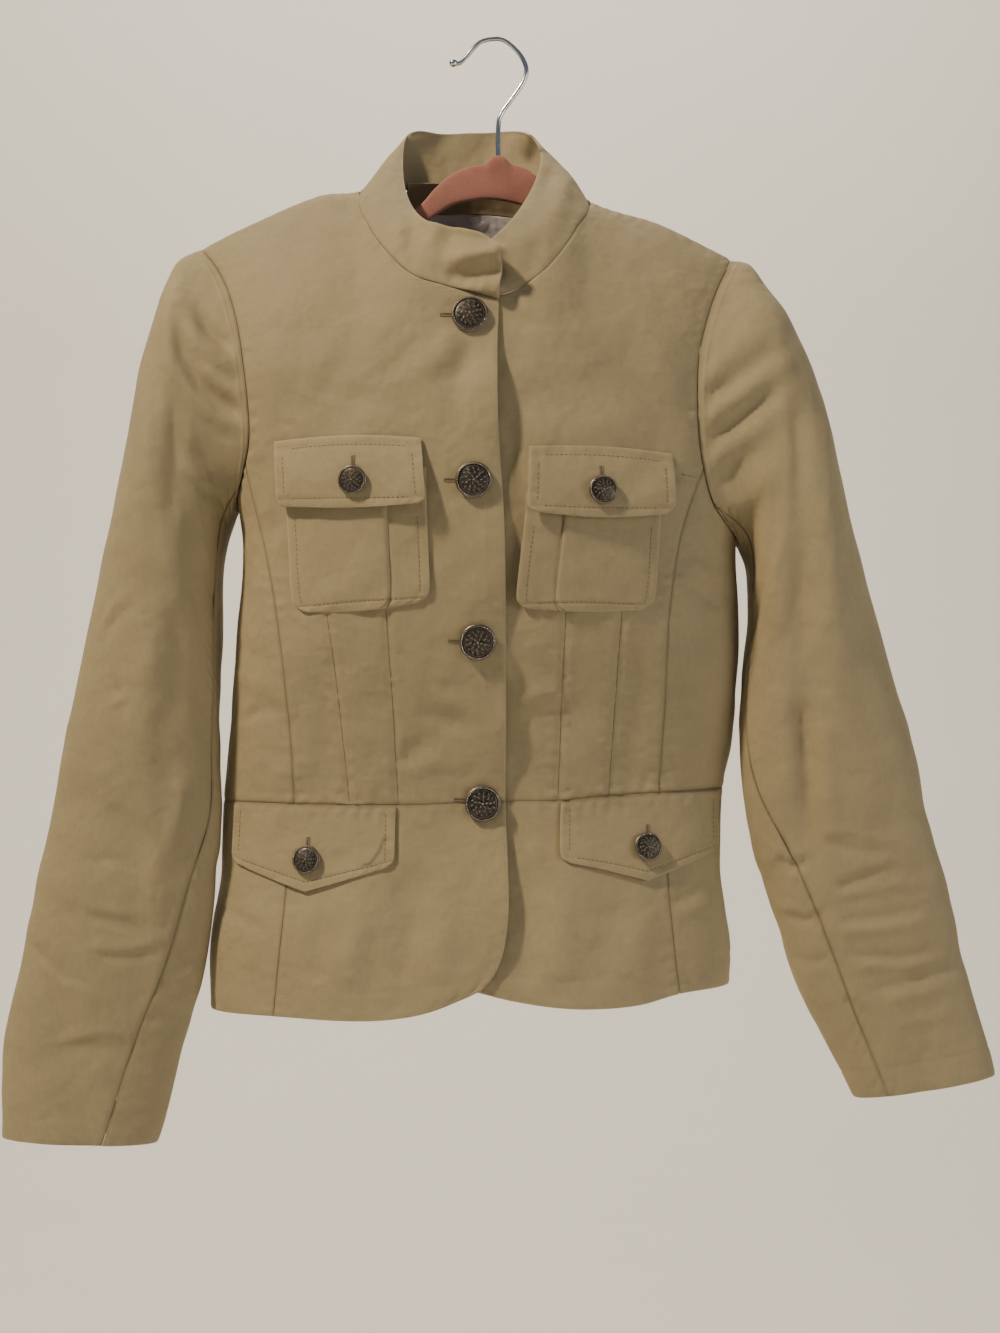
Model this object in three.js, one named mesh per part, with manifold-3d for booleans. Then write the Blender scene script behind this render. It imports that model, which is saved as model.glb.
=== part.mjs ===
import * as THREE from 'three';
import { mergeVertices } from 'three/addons/utils/BufferGeometryUtils.js';
import Module from 'manifold-3d';

// A fitted utility jacket of cotton twill on a slim velvet hanger, in millimetres.
// The origin is the inside top of the hanger's hook. +Z is up and the front faces -Y.
// "Right" and "left" are the wearer's: the wearer's right is on the -X side.

const CLOTH = 1.8;
const PATCH_CLOTH = 1.4;
const LINING_CLOTH = 1.0;
const SEAM_GAP = 0.4;
const LAYER_GAP = 0.5;
const UNDER_DROP = CLOTH + 0.8;
const SHOULDER_ROLL = 130;
const SHOULDER_SHAPE = 0.7;
const SECTION_SHAPE = 0.75;
const FRONT_BUTTON_RADIUS = 11;
const POCKET_BUTTON_RADIUS = 9;
const COLLAR_BULGE = 3;
const COLLAR_AXIS_Y = -8;
const COLLAR_FACES_UP = 20;
const BACK_ARMHOLE_BOW = 5;
const BACK_NECK_TRIM = 0.7;
const WAIST_FLAP_WIDTH = 118;
const WAIST_FLAP_LIFT = 0.5;
const WAIST_FLAP_FLARE = 0.02;
const PLEAT_LIFT = 0.8;
const BUTTON_LIFT = 0.4;
const WAIST_LEVEL = -528;
const HEM_LEVEL = -665;
const TYPICAL_HALF_WIDTH = 175;
const SLEEVE_RADIUS = 50;
const LINING_CLEARANCE = 1.8;
const FACING_HEIGHT = 20;
const LINING_HEIGHT = 90;
const FACING_DEPTH = CLOTH + LINING_CLEARANCE;
const HANGER_THICKNESS = 5;
const HOOK_WIRE_RADIUS = 1.7;
const HOOK_TIP_RADIUS = 3;
const BOSS_RADIUS = 6.3;
const BOSS_TOP = -80.5;
const BOSS_X = 4.4;

const COLOUR = {
  cloth: new THREE.Color(0x6f684b),
  facing: new THREE.Color(0x5d573f),
  lining: new THREE.Color(0x9a93a0),
  velvet: new THREE.Color(0xc58f93),
  chrome: new THREE.Color(0xc9ccd0),
  pewter: new THREE.Color(0x54504a),
};

// Body sections from the shoulders down: the section's centre, its half width, and how far
// the front and the back stand from the shoulder line.
const BODY = [
  { z: -60, centre: -12, half: 205, front: 54, back: 56 },
  { z: -104, centre: -12, half: 202, front: 60, back: 58 },
  { z: -150, centre: -13, half: 193, front: 66, back: 60 },
  { z: -200, centre: -13, half: 185, front: 74, back: 60 },
  { z: -250, centre: -13, half: 178, front: 82, back: 60 },
  { z: -300, centre: -9, half: 173, front: 86, back: 58 },
  { z: -345, centre: -2, half: 172, front: 86, back: 56 },
  { z: -420, centre: -3, half: 175, front: 78, back: 50 },
  { z: -480, centre: -7, half: 176, front: 64, back: 45 },
  { z: -530, centre: -13.5, half: 173.5, front: 56, back: 44 },
  { z: -580, centre: -14.5, half: 175, front: 62, back: 50 },
  { z: -630, centre: -15.5, half: 181, front: 70, back: 58 },
  { z: -690, centre: -15.5, half: 180, front: 76, back: 64 },
];

// The shoulder line seen from the front. Between the neck points it is the top of the
// surface that the neckline is cut from.
const SHOULDER = [
  { x: -240, z: -172 },
  { x: -203, z: -145.6 },
  { x: -160, z: -124 },
  { x: -120, z: -107.8 },
  { x: -92.4, z: -104.3 },
  { x: -76, z: -92 },
  { x: -50, z: -70 },
  { x: -12, z: -55 },
  { x: 25, z: -70 },
  { x: 50, z: -92 },
  { x: 69.3, z: -112 },
  { x: 116, z: -127.4 },
  { x: 154, z: -145.6 },
  { x: 167.3, z: -153.3 },
  { x: 205, z: -182 },
];

// Large soft folds of the body cloth: place, depth (negative is a trough), half length,
// half width and the lean of the fold from vertical, in degrees.
const BODY_FOLDS = [
  { x: -150, z: -250, depth: 2.2, length: 60, width: 12, lean: 14 },
  { x: 125, z: -262, depth: 2.4, length: 55, width: 12, lean: -16 },
  { x: -95, z: -225, depth: -1.8, length: 60, width: 18, lean: 20 },
  { x: 80, z: -225, depth: -2.0, length: 60, width: 18, lean: -22 },
  { x: -112, z: -470, depth: -1.6, length: 60, width: 13, lean: -4 },
  { x: 98, z: -470, depth: -1.8, length: 60, width: 13, lean: 4 },
  { x: -105, z: -645, depth: 2.6, length: 50, width: 20, lean: 6 },
  { x: 76, z: -640, depth: 2.4, length: 50, width: 20, lean: -8 },
];

// Collar from the over end, round the wearer's right, the back and the left to the under
// end: the neckline it is sewn to, and its upper edge.
const COLLAR = [
  { x: 5, z: -193, topX: 8.3, topY: -76, topZ: -159 },
  { x: -9, z: -189, topX: -8, topY: -73, topZ: -148.5 },
  { x: -32, z: -182.7, topX: -27, topY: -64, topZ: -142 },
  { x: -54.7, z: -173.7, topX: -44, topY: -51, topZ: -135.5 },
  { x: -75, z: -151.5, topX: -54, topY: -33, topZ: -123 },
  { x: -88.5, z: -127, topX: -60.5, topY: -13, topZ: -104 },
  { x: -92.4, z: -104.3, topX: -63, topY: 8, topZ: -82 },
  { x: -78, z: -101, topX: -60.5, topY: 31, topZ: -57 },
  { x: -48, z: -99, topX: -38, topY: 45, topZ: -53.5 },
  { x: -12, z: -98, topX: -11.8, topY: 50, topZ: -52.8 },
  { x: 25, z: -101, topX: 12, topY: 46, topZ: -51.5 },
  { x: 54, z: -107, topX: 29, topY: 32, topZ: -57.5 },
  { x: 69.3, z: -112, topX: 35.4, topY: 12, topZ: -76 },
  { x: 61, z: -130, topX: 30.5, topY: -9, topZ: -98 },
  { x: 50.4, z: -151.4, topX: 22, topY: -27, topZ: -118 },
  { x: 33, z: -173.5, topX: 12, topY: -45, topZ: -135 },
  { x: 6.3, z: -189, topX: -2, topY: -58, topZ: -149 },
  { x: -26, z: -187, topX: -22, topY: -54, topZ: -146 },
];
const NECK_RIGHT = 6;
const BACK_MIDDLE = 9;
const NECK_LEFT = 12;
const UNDER_END = 17;

const ARMHOLE = {
  right: [
    { z: -145.6, x: -203 },
    { z: -161, x: -191 },
    { z: -181, x: -181 },
    { z: -207, x: -173.3 },
    { z: -241, x: -167.3 },
    { z: -270, x: -163.6 },
    { z: -286, x: -163.6 },
    { z: -300, x: -167 },
    { z: -313, x: -171.5 },
    { z: -325, x: -177 },
  ],
  left: [
    { z: -153.3, x: 167.3 },
    { z: -179, x: 154.9 },
    { z: -205.5, x: 145.9 },
    { z: -226.7, x: 140.9 },
    { z: -257.5, x: 138.9 },
    { z: -283.3, x: 139.5 },
    { z: -304, x: 142.8 },
    { z: -326.4, x: 149.6 },
    { z: -338.7, x: 159 },
    { z: -349, x: 170 },
  ],
};

const FRONT_SEAM = {
  right: [
    { z: -673.4, x: -147.4 },
    { z: -591, x: -139.5 },
    { z: -530, x: -134.4 },
    { z: -460.5, x: -139 },
    { z: -406, x: -145 },
    { z: -362, x: -152.8 },
    { z: -329, x: -161 },
    { z: -300, x: -167 },
  ],
  left: [
    { z: -658.5, x: 127.3 },
    { z: -623.7, x: 123.4 },
    { z: -579, x: 119.3 },
    { z: -523, x: 114.6 },
    { z: -460, x: 117 },
    { z: -426, x: 117.8 },
    { z: -394, x: 120.2 },
    { z: -356, x: 125.6 },
    { z: -330.6, x: 132.6 },
    { z: -304, x: 142.8 },
  ],
};

// Side seams of the back, as the distance from the section's centre.
const BACK_SEAM = [
  { z: -530, out: 118 },
  { z: -460, out: 120 },
  { z: -400, out: 126 },
  { z: -340, out: 139 },
  { z: -285, out: 157 },
];
const BACK_SEAM_TOP = -285;

const FRONT_EDGE = {
  right: [
    { z: -654, x: -7.7 },
    { z: -645.5, x: 0.3 },
    { z: -633, x: 6.3 },
    { z: -618, x: 9.6 },
    { z: -598, x: 11.2 },
    { z: -568, x: 10.6 },
    { z: -528, x: 9.4 },
    { z: -424, x: 9.6 },
    { z: -337, x: 8.2 },
    { z: -275, x: 4.2 },
    { z: -229, x: 3.8 },
    { z: -193, x: 5 },
  ],
  left: [
    { z: -655, x: -9.5 },
    { z: -646, x: -17.5 },
    { z: -633, x: -23 },
    { z: -618, x: -26 },
    { z: -528, x: -26.5 },
    { z: -337, x: -27.5 },
    { z: -229, x: -30 },
    { z: -187, x: -26 },
  ],
};

const WAIST = [
  { x: -190, z: -530 },
  { x: -60, z: -531 },
  { x: 0, z: -528.5 },
  { x: 45, z: -528 },
  { x: 80, z: -525 },
  { x: 165, z: -521 },
];

const HEM = {
  right: [
    { x: -197, z: -674 },
    { x: -147, z: -673.4 },
    { x: -90, z: -674.5 },
    { x: -64, z: -672.7 },
    { x: -41, z: -667.9 },
    { x: -18.4, z: -659 },
    { x: -7.7, z: -654 },
  ],
  left: [
    { x: -9.5, z: -655 },
    { x: 14.9, z: -661 },
    { x: 45.6, z: -665.7 },
    { x: 69, z: -666.8 },
    { x: 100, z: -665 },
    { x: 128, z: -659 },
    { x: 166, z: -657 },
  ],
};
const BACK_HEM_DROP = 3;

// Sleeve sections from the armhole to the cuff: the outer and inner edge seen from the
// front, half the depth from front to back, how far forward the section lies, and the
// angles of the front and back seams round it from the outer edge, in degrees.
const SLEEVE = {
  right: [
    { outX: -203, outZ: -145.6, inX: -177, inZ: -325, depth: 46, forward: 0, front: 150, back: 222 },
    { outX: -215.6, outZ: -151.9, inX: -178.6, inZ: -331, depth: 47, forward: 0, front: 150, back: 222 },
    { outX: -224, outZ: -163, inX: -181, inZ: -339, depth: 50, forward: 1, front: 151, back: 222 },
    { outX: -232.4, outZ: -184, inX: -184, inZ: -351, depth: 52, forward: 2, front: 152, back: 223 },
    { outX: -245, outZ: -235, inX: -187, inZ: -374, depth: 54, forward: 5, front: 156, back: 224 },
    { outX: -260, outZ: -312, inX: -188, inZ: -411, depth: 51, forward: 10, front: 158, back: 226 },
    { outX: -275, outZ: -392, inX: -188.5, inZ: -455, depth: 43, forward: 15, front: 160, back: 230 },
    { outX: -287.5, outZ: -456, inX: -188.5, inZ: -494, depth: 36, forward: 19, front: 160, back: 234 },
    { outX: -299.5, outZ: -520, inX: -187, inZ: -538, depth: 32, forward: 22, front: 154, back: 238 },
    { outX: -311.5, outZ: -584, inX: -190, inZ: -588, depth: 29, forward: 24, front: 137, back: 242 },
    { outX: -323.5, outZ: -638, inX: -197, inZ: -638, depth: 26, forward: 25, front: 128, back: 246 },
    { outX: -335, outZ: -697, inX: -211, inZ: -694, depth: 23, forward: 26, front: 119, back: 250 },
    { outX: -336.5, outZ: -760.5, inX: -229, inZ: -764, depth: 21, forward: 27, front: 110, back: 253 },
  ],
  left: [
    { outX: 167.3, outZ: -153.3, inX: 170, inZ: -349, depth: 46, forward: 0, front: 142, back: 222 },
    { outX: 179.5, outZ: -157, inX: 172, inZ: -353, depth: 47, forward: 0, front: 144, back: 222 },
    { outX: 191, outZ: -171, inX: 174.5, inZ: -359, depth: 50, forward: 1, front: 148, back: 222 },
    { outX: 207.5, outZ: -193.9, inX: 177.5, inZ: -370, depth: 52, forward: 2, front: 152, back: 223 },
    { outX: 224, outZ: -235.5, inX: 178, inZ: -391, depth: 54, forward: 5, front: 156, back: 224 },
    { outX: 238.5, outZ: -288, inX: 178, inZ: -413, depth: 51, forward: 10, front: 158, back: 226 },
    { outX: 254.4, outZ: -360.6, inX: 174, inZ: -446, depth: 43, forward: 15, front: 160, back: 230 },
    { outX: 274.5, outZ: -437.5, inX: 171, inZ: -481, depth: 36, forward: 19, front: 160, back: 234 },
    { outX: 290, outZ: -495, inX: 172.5, inZ: -517, depth: 32, forward: 22, front: 152, back: 238 },
    { outX: 303.5, outZ: -552, inX: 180.5, inZ: -563, depth: 29, forward: 24, front: 132, back: 242 },
    { outX: 317, outZ: -607, inX: 194, inZ: -610, depth: 26, forward: 25, front: 122, back: 246 },
    { outX: 328.5, outZ: -654.5, inX: 209.5, inZ: -653.5, depth: 23, forward: 26, front: 120, back: 250 },
    { outX: 339.5, outZ: -693.5, inX: 231, inZ: -698.5, depth: 21, forward: 27, front: 122, back: 253 },
    { outX: 346.5, outZ: -717, inX: 249, inZ: -733, depth: 21, forward: 27, front: 125, back: 253 },
  ],
};
const ARMHOLE_BLEND = 0.22;

// Large sleeve folds: the distance down the sleeve, the angle round it from the outer edge
// towards the front, the depth (negative is a trough), half length, half width, and the
// lean of the fold from the sleeve's length, in degrees.
const SLEEVE_FOLDS = {
  right: [
    { down: 120, angle: 70, depth: -5, length: 90, width: 14, lean: 22 },
    { down: 175, angle: 45, depth: 4, length: 110, width: 14, lean: 4 },
    { down: 230, angle: 115, depth: -4, length: 70, width: 14, lean: 30 },
    { down: 330, angle: 70, depth: -3, length: 90, width: 16, lean: -6 },
    { down: 440, angle: 95, depth: -4, length: 55, width: 11, lean: 72 },
    { down: 475, angle: 60, depth: 3, length: 55, width: 11, lean: 80 },
    { down: 200, angle: -80, depth: -4, length: 90, width: 16, lean: -18 },
    { down: 400, angle: -100, depth: 3, length: 70, width: 14, lean: 60 },
  ],
  left: [
    { down: 110, angle: 75, depth: -3.5, length: 70, width: 14, lean: -40 },
    { down: 145, angle: 95, depth: 3, length: 70, width: 14, lean: -36 },
    { down: 300, angle: 70, depth: 4, length: 150, width: 13, lean: 3 },
    { down: 300, angle: 100, depth: -4, length: 130, width: 13, lean: 0 },
    { down: 430, angle: 60, depth: -4, length: 60, width: 10, lean: 78 },
    { down: 470, angle: 95, depth: -4, length: 65, width: 10, lean: 70 },
    { down: 520, angle: 60, depth: -3, length: 60, width: 10, lean: 76 },
    { down: 210, angle: -80, depth: -4, length: 90, width: 16, lean: 20 },
    { down: 410, angle: -100, depth: 3, length: 70, width: 14, lean: -64 },
  ],
};

// Patches on the fronts, from the top row to the bottom one: the two ends of each row, how
// far its middle sags and how far its outer face stands off the panel.
const CHEST_POCKET = {
  right: [
    { inX: -43, inZ: -306, outX: -138.5, outZ: -306, sag: 0 },
    { inX: -42.5, inZ: -333, outX: -137.4, outZ: -331, sag: 0 },
    { inX: -41.5, inZ: -362, outX: -135.7, outZ: -361, sag: 0 },
    { inX: -40.8, inZ: -385, outX: -134.2, outZ: -388, sag: 0 },
    { inX: -43, inZ: -391, outX: -131.8, outZ: -396, sag: 1 },
    { inX: -49, inZ: -395.5, outX: -125, outZ: -401, sag: 2 },
  ],
  left: [
    { inX: 23, inZ: -312, outX: 113, outZ: -312, sag: 0 },
    { inX: 22, inZ: -337, outX: 112.4, outZ: -340, sag: 0 },
    { inX: 19, inZ: -364, outX: 111, outZ: -365, sag: 0 },
    { inX: 16.4, inZ: -389, outX: 109.2, outZ: -388.5, sag: 0 },
    { inX: 18, inZ: -395.5, outX: 107, outZ: -394.5, sag: 1 },
    { inX: 24, inZ: -399.5, outX: 100, outZ: -399.5, sag: 1.5 },
  ],
};
const PLEAT_PLACE = 0.29;
const CHEST_FLAP = {
  right: [
    { inX: -46.6, inZ: -286.5, outX: -145, outZ: -286.5, sag: -2.5, lift: 2.0 },
    { inX: -45.2, inZ: -299, outX: -143.2, outZ: -299, sag: -1, lift: 4.6 },
    { inX: -43.8, inZ: -313, outX: -141.5, outZ: -313, sag: 1, lift: 5.0 },
    { inX: -42.6, inZ: -326, outX: -140, outZ: -326, sag: 1, lift: 5.2 },
    { inX: -47, inZ: -330, outX: -136.5, outZ: -330, sag: 2, lift: 5.2 },
  ],
  left: [
    { inX: 24.8, inZ: -292, outX: 120.3, outZ: -295, sag: -2, lift: 2.0 },
    { inX: 24.2, inZ: -305, outX: 119.8, outZ: -307, sag: -0.5, lift: 4.6 },
    { inX: 23.7, inZ: -318, outX: 119, outZ: -319, sag: 1.5, lift: 5.0 },
    { inX: 23.4, inZ: -331, outX: 118, outZ: -331, sag: 2, lift: 5.2 },
    { inX: 28, inZ: -335.5, outX: 113, outZ: -336.5, sag: 3, lift: 5.2 },
  ],
};
// Waist flaps hang from the waist seam: the drop of each row, how much its point adds in
// the middle, and how far its ends are drawn in.
const WAIST_FLAP_ROWS = [
  { drop: 1, point: 0, inset: 0 },
  { drop: 14, point: 5, inset: 0 },
  { drop: 27, point: 10, inset: 0 },
  { drop: 37, point: 15.5, inset: 0.5 },
  { drop: 42, point: 17, inset: 5 },
];

const FRONT_BUTTONS = [
  { x: -14.4, z: -204 },
  { x: -11.6, z: -314.8 },
  { x: -9, z: -420.9 },
  { x: -5.9, z: -529.8 },
];
const CHEST_BUTTONS = { right: { x: -89.9, z: -314.3 }, left: { x: 71.9, z: -321.5 } };
const WAIST_BUTTONS = { right: { x: -124, z: -568.5 }, left: { x: 104.6, z: -560 } };

// Hanger arms seen from the front: the top edge, and how deep the arm is below it.
const HANGER_ARM = {
  right: [
    { x: -3, top: -86.5, deep: 24 },
    { x: -14, top: -87.5, deep: 24 },
    { x: -27.3, top: -92.4, deep: 22 },
    { x: -39.2, top: -102.2, deep: 19.5 },
    { x: -52.5, top: -116.5, deep: 15 },
    { x: -80, top: -126.5, deep: 13 },
    { x: -115, top: -131.5, deep: 12.5 },
    { x: -145, top: -130.5, deep: 12 },
    { x: -165, top: -132.2, deep: 12 },
    { x: -182, top: -138.8, deep: 11.5 },
    { x: -196, top: -147.8, deep: 9 },
  ],
  left: [
    { x: 11.8, top: -86.5, deep: 24 },
    { x: 23, top: -87.5, deep: 24 },
    { x: 34, top: -98, deep: 20 },
    { x: 45, top: -109, deep: 18 },
    { x: 56, top: -122, deep: 16 },
    { x: 75, top: -134, deep: 13 },
    { x: 100, top: -139.5, deep: 12.5 },
    { x: 122, top: -139.5, deep: 12 },
    { x: 140, top: -145.5, deep: 12 },
    { x: 152, top: -151.2, deep: 11 },
    { x: 162, top: -158, deep: 9 },
  ],
};

const HOOK_PATH = [
  { x: -27, z: -15 },
  { x: -22.5, z: -15 },
  { x: -17, z: -9.5 },
  { x: -9, z: -1 },
  { x: 0, z: 1.7 },
  { x: 9, z: 0.5 },
  { x: 19, z: -8.5 },
  { x: 24, z: -19 },
  { x: 21.5, z: -29 },
  { x: 14, z: -40 },
  { x: 7, z: -50 },
  { x: 4.4, z: -60 },
  { x: 4.4, z: -92 },
];

const DEGREE = Math.PI / 180;

const wasm = await Module();
wasm.setup();

// Curves and tables

function hermite(a, b, slopeA, slopeB, t) {
  const t2 = t * t;
  const t3 = t2 * t;
  return a * (2 * t3 - 3 * t2 + 1) + slopeA * (t3 - 2 * t2 + t)
    + b * (3 * t2 - 2 * t3) + slopeB * (t3 - t2);
}

// The smooth value of a column where the key column has the given value.
function lookUp(rows, key, column, value) {
  const up = rows[rows.length - 1][key] > rows[0][key] ? 1 : -1;
  const last = rows.length - 1;
  if ((value - rows[0][key]) * up <= 0) return rows[0][column];
  if ((value - rows[last][key]) * up >= 0) return rows[last][column];
  let i = 0;
  while ((value - rows[i + 1][key]) * up > 0) i += 1;
  const slope = (j) => {
    const low = Math.max(0, j - 1);
    const high = Math.min(last, j + 1);
    return (rows[high][column] - rows[low][column]) / (rows[high][key] - rows[low][key]);
  };
  const span = rows[i + 1][key] - rows[i][key];
  const t = (value - rows[i][key]) / span;
  return hermite(rows[i][column], rows[i + 1][column], slope(i) * span, slope(i + 1) * span, t);
}

// The smooth value of a column at a place counted in rows, such as 2.5.
function alongRows(rows, column, place) {
  const last = rows.length - 1;
  const i = Math.min(last - 1, Math.max(0, Math.floor(place)));
  const slope = (j) => {
    const low = Math.max(0, j - 1);
    const high = Math.min(last, j + 1);
    return (rows[high][column] - rows[low][column]) / (high - low);
  };
  return hermite(rows[i][column], rows[i + 1][column], slope(i), slope(i + 1), place - i);
}

function smoothStep(low, high, value) {
  const t = Math.min(1, Math.max(0, (value - low) / (high - low)));
  return t * t * (3 - 2 * t);
}

const mix = (a, b, t) => a + (b - a) * t;

function softFold(fold, across, along) {
  const lean = fold.lean * DEGREE;
  const u = along * Math.cos(lean) + across * Math.sin(lean);
  const v = across * Math.cos(lean) - along * Math.sin(lean);
  return fold.depth * Math.exp(-((u / fold.length) ** 2) - (v / fold.width) ** 2);
}

// Body surface. A place on it is an angle round the section (0 at the front's middle, 90
// degrees at +X, 180 at the back) and a height.

function shoulderRoll(below) {
  if (below <= 0) return 0;
  return Math.sin((Math.PI / 2) * Math.min(1, below / SHOULDER_ROLL)) ** SHOULDER_SHAPE;
}

function bodyX(angle, z) {
  return lookUp(BODY, 'z', 'centre', z) + lookUp(BODY, 'z', 'half', z) * Math.sin(angle);
}

function bodySurface(angle, z) {
  const x = bodyX(angle, z);
  const roll = shoulderRoll(lookUp(SHOULDER, 'x', 'z', x) - z);
  const across = Math.cos(angle);
  const reach = across > 0 ? -lookUp(BODY, 'z', 'front', z) : lookUp(BODY, 'z', 'back', z);
  const y = reach * Math.abs(across) ** SECTION_SHAPE * roll;
  return new THREE.Vector3(x, y, z);
}

function bodyNormal(angle, z) {
  const x = bodyX(angle, z);
  const below = lookUp(SHOULDER, 'x', 'z', x) - z;
  if (below < 2.5) {
    const step = 4;
    const rise = lookUp(SHOULDER, 'x', 'z', x + step) - lookUp(SHOULDER, 'x', 'z', x - step);
    return new THREE.Vector3(-rise / (2 * step), 0, 1).normalize();
  }
  const turn = 0.02;
  const drop = Math.min(3, below / 2);
  const around = bodySurface(angle + turn, z).sub(bodySurface(angle - turn, z));
  const down = bodySurface(angle, z - drop).sub(bodySurface(angle, z + drop));
  const normal = down.cross(around).normalize();
  const outward = Math.sin(angle) * normal.x - Math.cos(angle) * normal.y;
  return outward < 0 ? normal.negate() : normal;
}

function bodyFold(angle, z) {
  if (Math.cos(angle) < 0.05) {
    return 2.2 * Math.sin(5 * angle + 0.8) * smoothStep(-530, -670, z) * -Math.cos(angle);
  }
  const x = bodyX(angle, z);
  return BODY_FOLDS.reduce((sum, fold) => sum + softFold(fold, x - fold.x, z - fold.z), 0);
}

function bodyPoint(angle, z, lift) {
  const normal = bodyNormal(angle, z);
  const point = bodySurface(angle, z).addScaledVector(normal, lift + bodyFold(angle, z));
  return { point, normal };
}

function angleAt(face, x, z) {
  const share = (x - lookUp(BODY, 'z', 'centre', z)) / lookUp(BODY, 'z', 'half', z);
  const angle = Math.asin(Math.min(1, Math.max(-1, share)));
  return face === 'back' ? Math.PI - angle : angle;
}

function armholeX(side, face, z) {
  const rows = ARMHOLE[side];
  const x = lookUp(rows, 'z', 'x', z);
  if (face === 'front') return x;
  const along = (z - rows[0].z) / (rows[rows.length - 1].z - rows[0].z);
  return x + Math.sign(x) * BACK_ARMHOLE_BOW * Math.sin(Math.PI * Math.min(1, Math.max(0, along)));
}

// The underlapping front lies behind the overlapping one.
function underLift(angle, z) {
  const x = bodyX(angle, z);
  return -UNDER_DROP * (1 - smoothStep(14, 34, x));
}

// Walls

// A closed wall of cloth whose outer face passes through the grid of points.
function wallGeometry(grid, thickness) {
  const rows = grid.length;
  const columns = grid[0].length;
  const positions = [];
  for (const depth of [0, thickness]) {
    for (const row of grid) {
      for (const { point, normal } of row) {
        const place = point.clone().addScaledVector(normal, -depth);
        positions.push(place.x, place.y, place.z);
      }
    }
  }
  const inner = rows * columns;
  const at = (row, column) => row * columns + column;
  const indices = [];
  const quad = (a, b, c, d) => indices.push(a, b, c, a, c, d);
  for (let row = 0; row < rows - 1; row += 1) {
    for (let column = 0; column < columns - 1; column += 1) {
      const a = at(row, column);
      const b = at(row, column + 1);
      const c = at(row + 1, column + 1);
      const d = at(row + 1, column);
      quad(a, b, c, d);
      quad(inner + a, inner + d, inner + c, inner + b);
    }
  }
  const rim = [];
  for (let column = 0; column < columns - 1; column += 1) rim.push(at(0, column));
  for (let row = 0; row < rows - 1; row += 1) rim.push(at(row, columns - 1));
  for (let column = columns - 1; column > 0; column -= 1) rim.push(at(rows - 1, column));
  for (let row = rows - 1; row > 0; row -= 1) rim.push(at(row, 0));
  rim.forEach((start, i) => {
    const end = rim[(i + 1) % rim.length];
    quad(end, start, inner + start, inner + end);
  });
  return facingOut(positions, indices);
}

function facingOut(positions, indices) {
  let volume = 0;
  const corner = [new THREE.Vector3(), new THREE.Vector3(), new THREE.Vector3()];
  for (let i = 0; i < indices.length; i += 3) {
    corner.forEach((vertex, k) => vertex.fromArray(positions, indices[i + k] * 3));
    volume += corner[0].dot(corner[1].clone().cross(corner[2]));
  }
  if (volume < 0) indices.reverse();
  const geometry = new THREE.BufferGeometry();
  geometry.setAttribute('position', new THREE.Float32BufferAttribute(positions, 3));
  geometry.setIndex(indices);
  return geometry;
}

// A grid of places between four edges, each a function of 0 to 1 that gives [angle, z].
function spanGrid({ start, end, bottom, top }, rows, columns, lift) {
  const grid = [];
  for (let row = 0; row <= rows; row += 1) {
    const t = row / rows;
    const line = [];
    for (let column = 0; column <= columns; column += 1) {
      const s = column / columns;
      const place = [0, 1].map((axis) => mix(bottom(s)[axis], top(s)[axis], t)
        + mix(start(t)[axis], end(t)[axis], s)
        - mix(mix(bottom(0)[axis], bottom(1)[axis], s), mix(top(0)[axis], top(1)[axis], s), t));
      line.push(bodyPoint(place[0], place[1], lift(place[0], place[1])));
    }
    grid.push(line);
  }
  return grid;
}

// An edge made of stretches, each with the share of the edge that it takes.
function jointEdge(stretches) {
  return (t) => {
    let from = 0;
    for (const [share, stretch] of stretches) {
      if (t <= from + share + 1e-9) return stretch(Math.min(1, (t - from) / share));
      from += share;
    }
    return stretches[stretches.length - 1][1](1);
  };
}

// Edges of the panels

const AROUND_GAP = SEAM_GAP / 2 / TYPICAL_HALF_WIDTH;

function seamEdge(side, fromZ, toZ, inward) {
  return (t) => {
    const z = mix(fromZ, toZ, t);
    const x = lookUp(FRONT_SEAM[side], 'z', 'x', z);
    return [angleAt('front', x, z) + inward * AROUND_GAP, z];
  };
}

function backSeamX(side, z) {
  const out = lookUp(BACK_SEAM, 'z', 'out', z);
  const sign = side === 'left' ? 1 : -1;
  const plain = lookUp(BODY, 'z', 'centre', z) + sign * out;
  const top = armholeX(side, 'back', BACK_SEAM_TOP);
  return mix(plain, top, smoothStep(-340, BACK_SEAM_TOP, z));
}

function backSeamEdge(side, inward) {
  return (t) => {
    const x0 = backSeamX(side, WAIST_LEVEL);
    const z = mix(lookUp(WAIST, 'x', 'z', x0) + SEAM_GAP / 2, BACK_SEAM_TOP, t);
    return [angleAt('back', backSeamX(side, z), z) + inward * AROUND_GAP, z];
  };
}

function armholeEdge(side, face, fromZ, toZ) {
  return (t) => {
    const z = mix(fromZ, toZ, t);
    return [angleAt(face, armholeX(side, face, z), z), z];
  };
}

function neckEdge(face, from, to) {
  return (t) => {
    const place = mix(from, to, t);
    const z = alongRows(COLLAR, 'z', place) - (face === 'back' ? BACK_NECK_TRIM : 0);
    return [angleAt(face, alongRows(COLLAR, 'x', place), z), z];
  };
}

function shoulderEdge(face, fromX, toX) {
  return (t) => {
    const x = mix(fromX, toX, t);
    const z = lookUp(SHOULDER, 'x', 'z', x);
    return [angleAt(face, x, z), z];
  };
}

function frontEdge(side, fromZ, toZ) {
  return (t) => {
    const z = mix(fromZ, toZ, t);
    return [angleAt('front', lookUp(FRONT_EDGE[side], 'z', 'x', z), z), z];
  };
}

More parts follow.
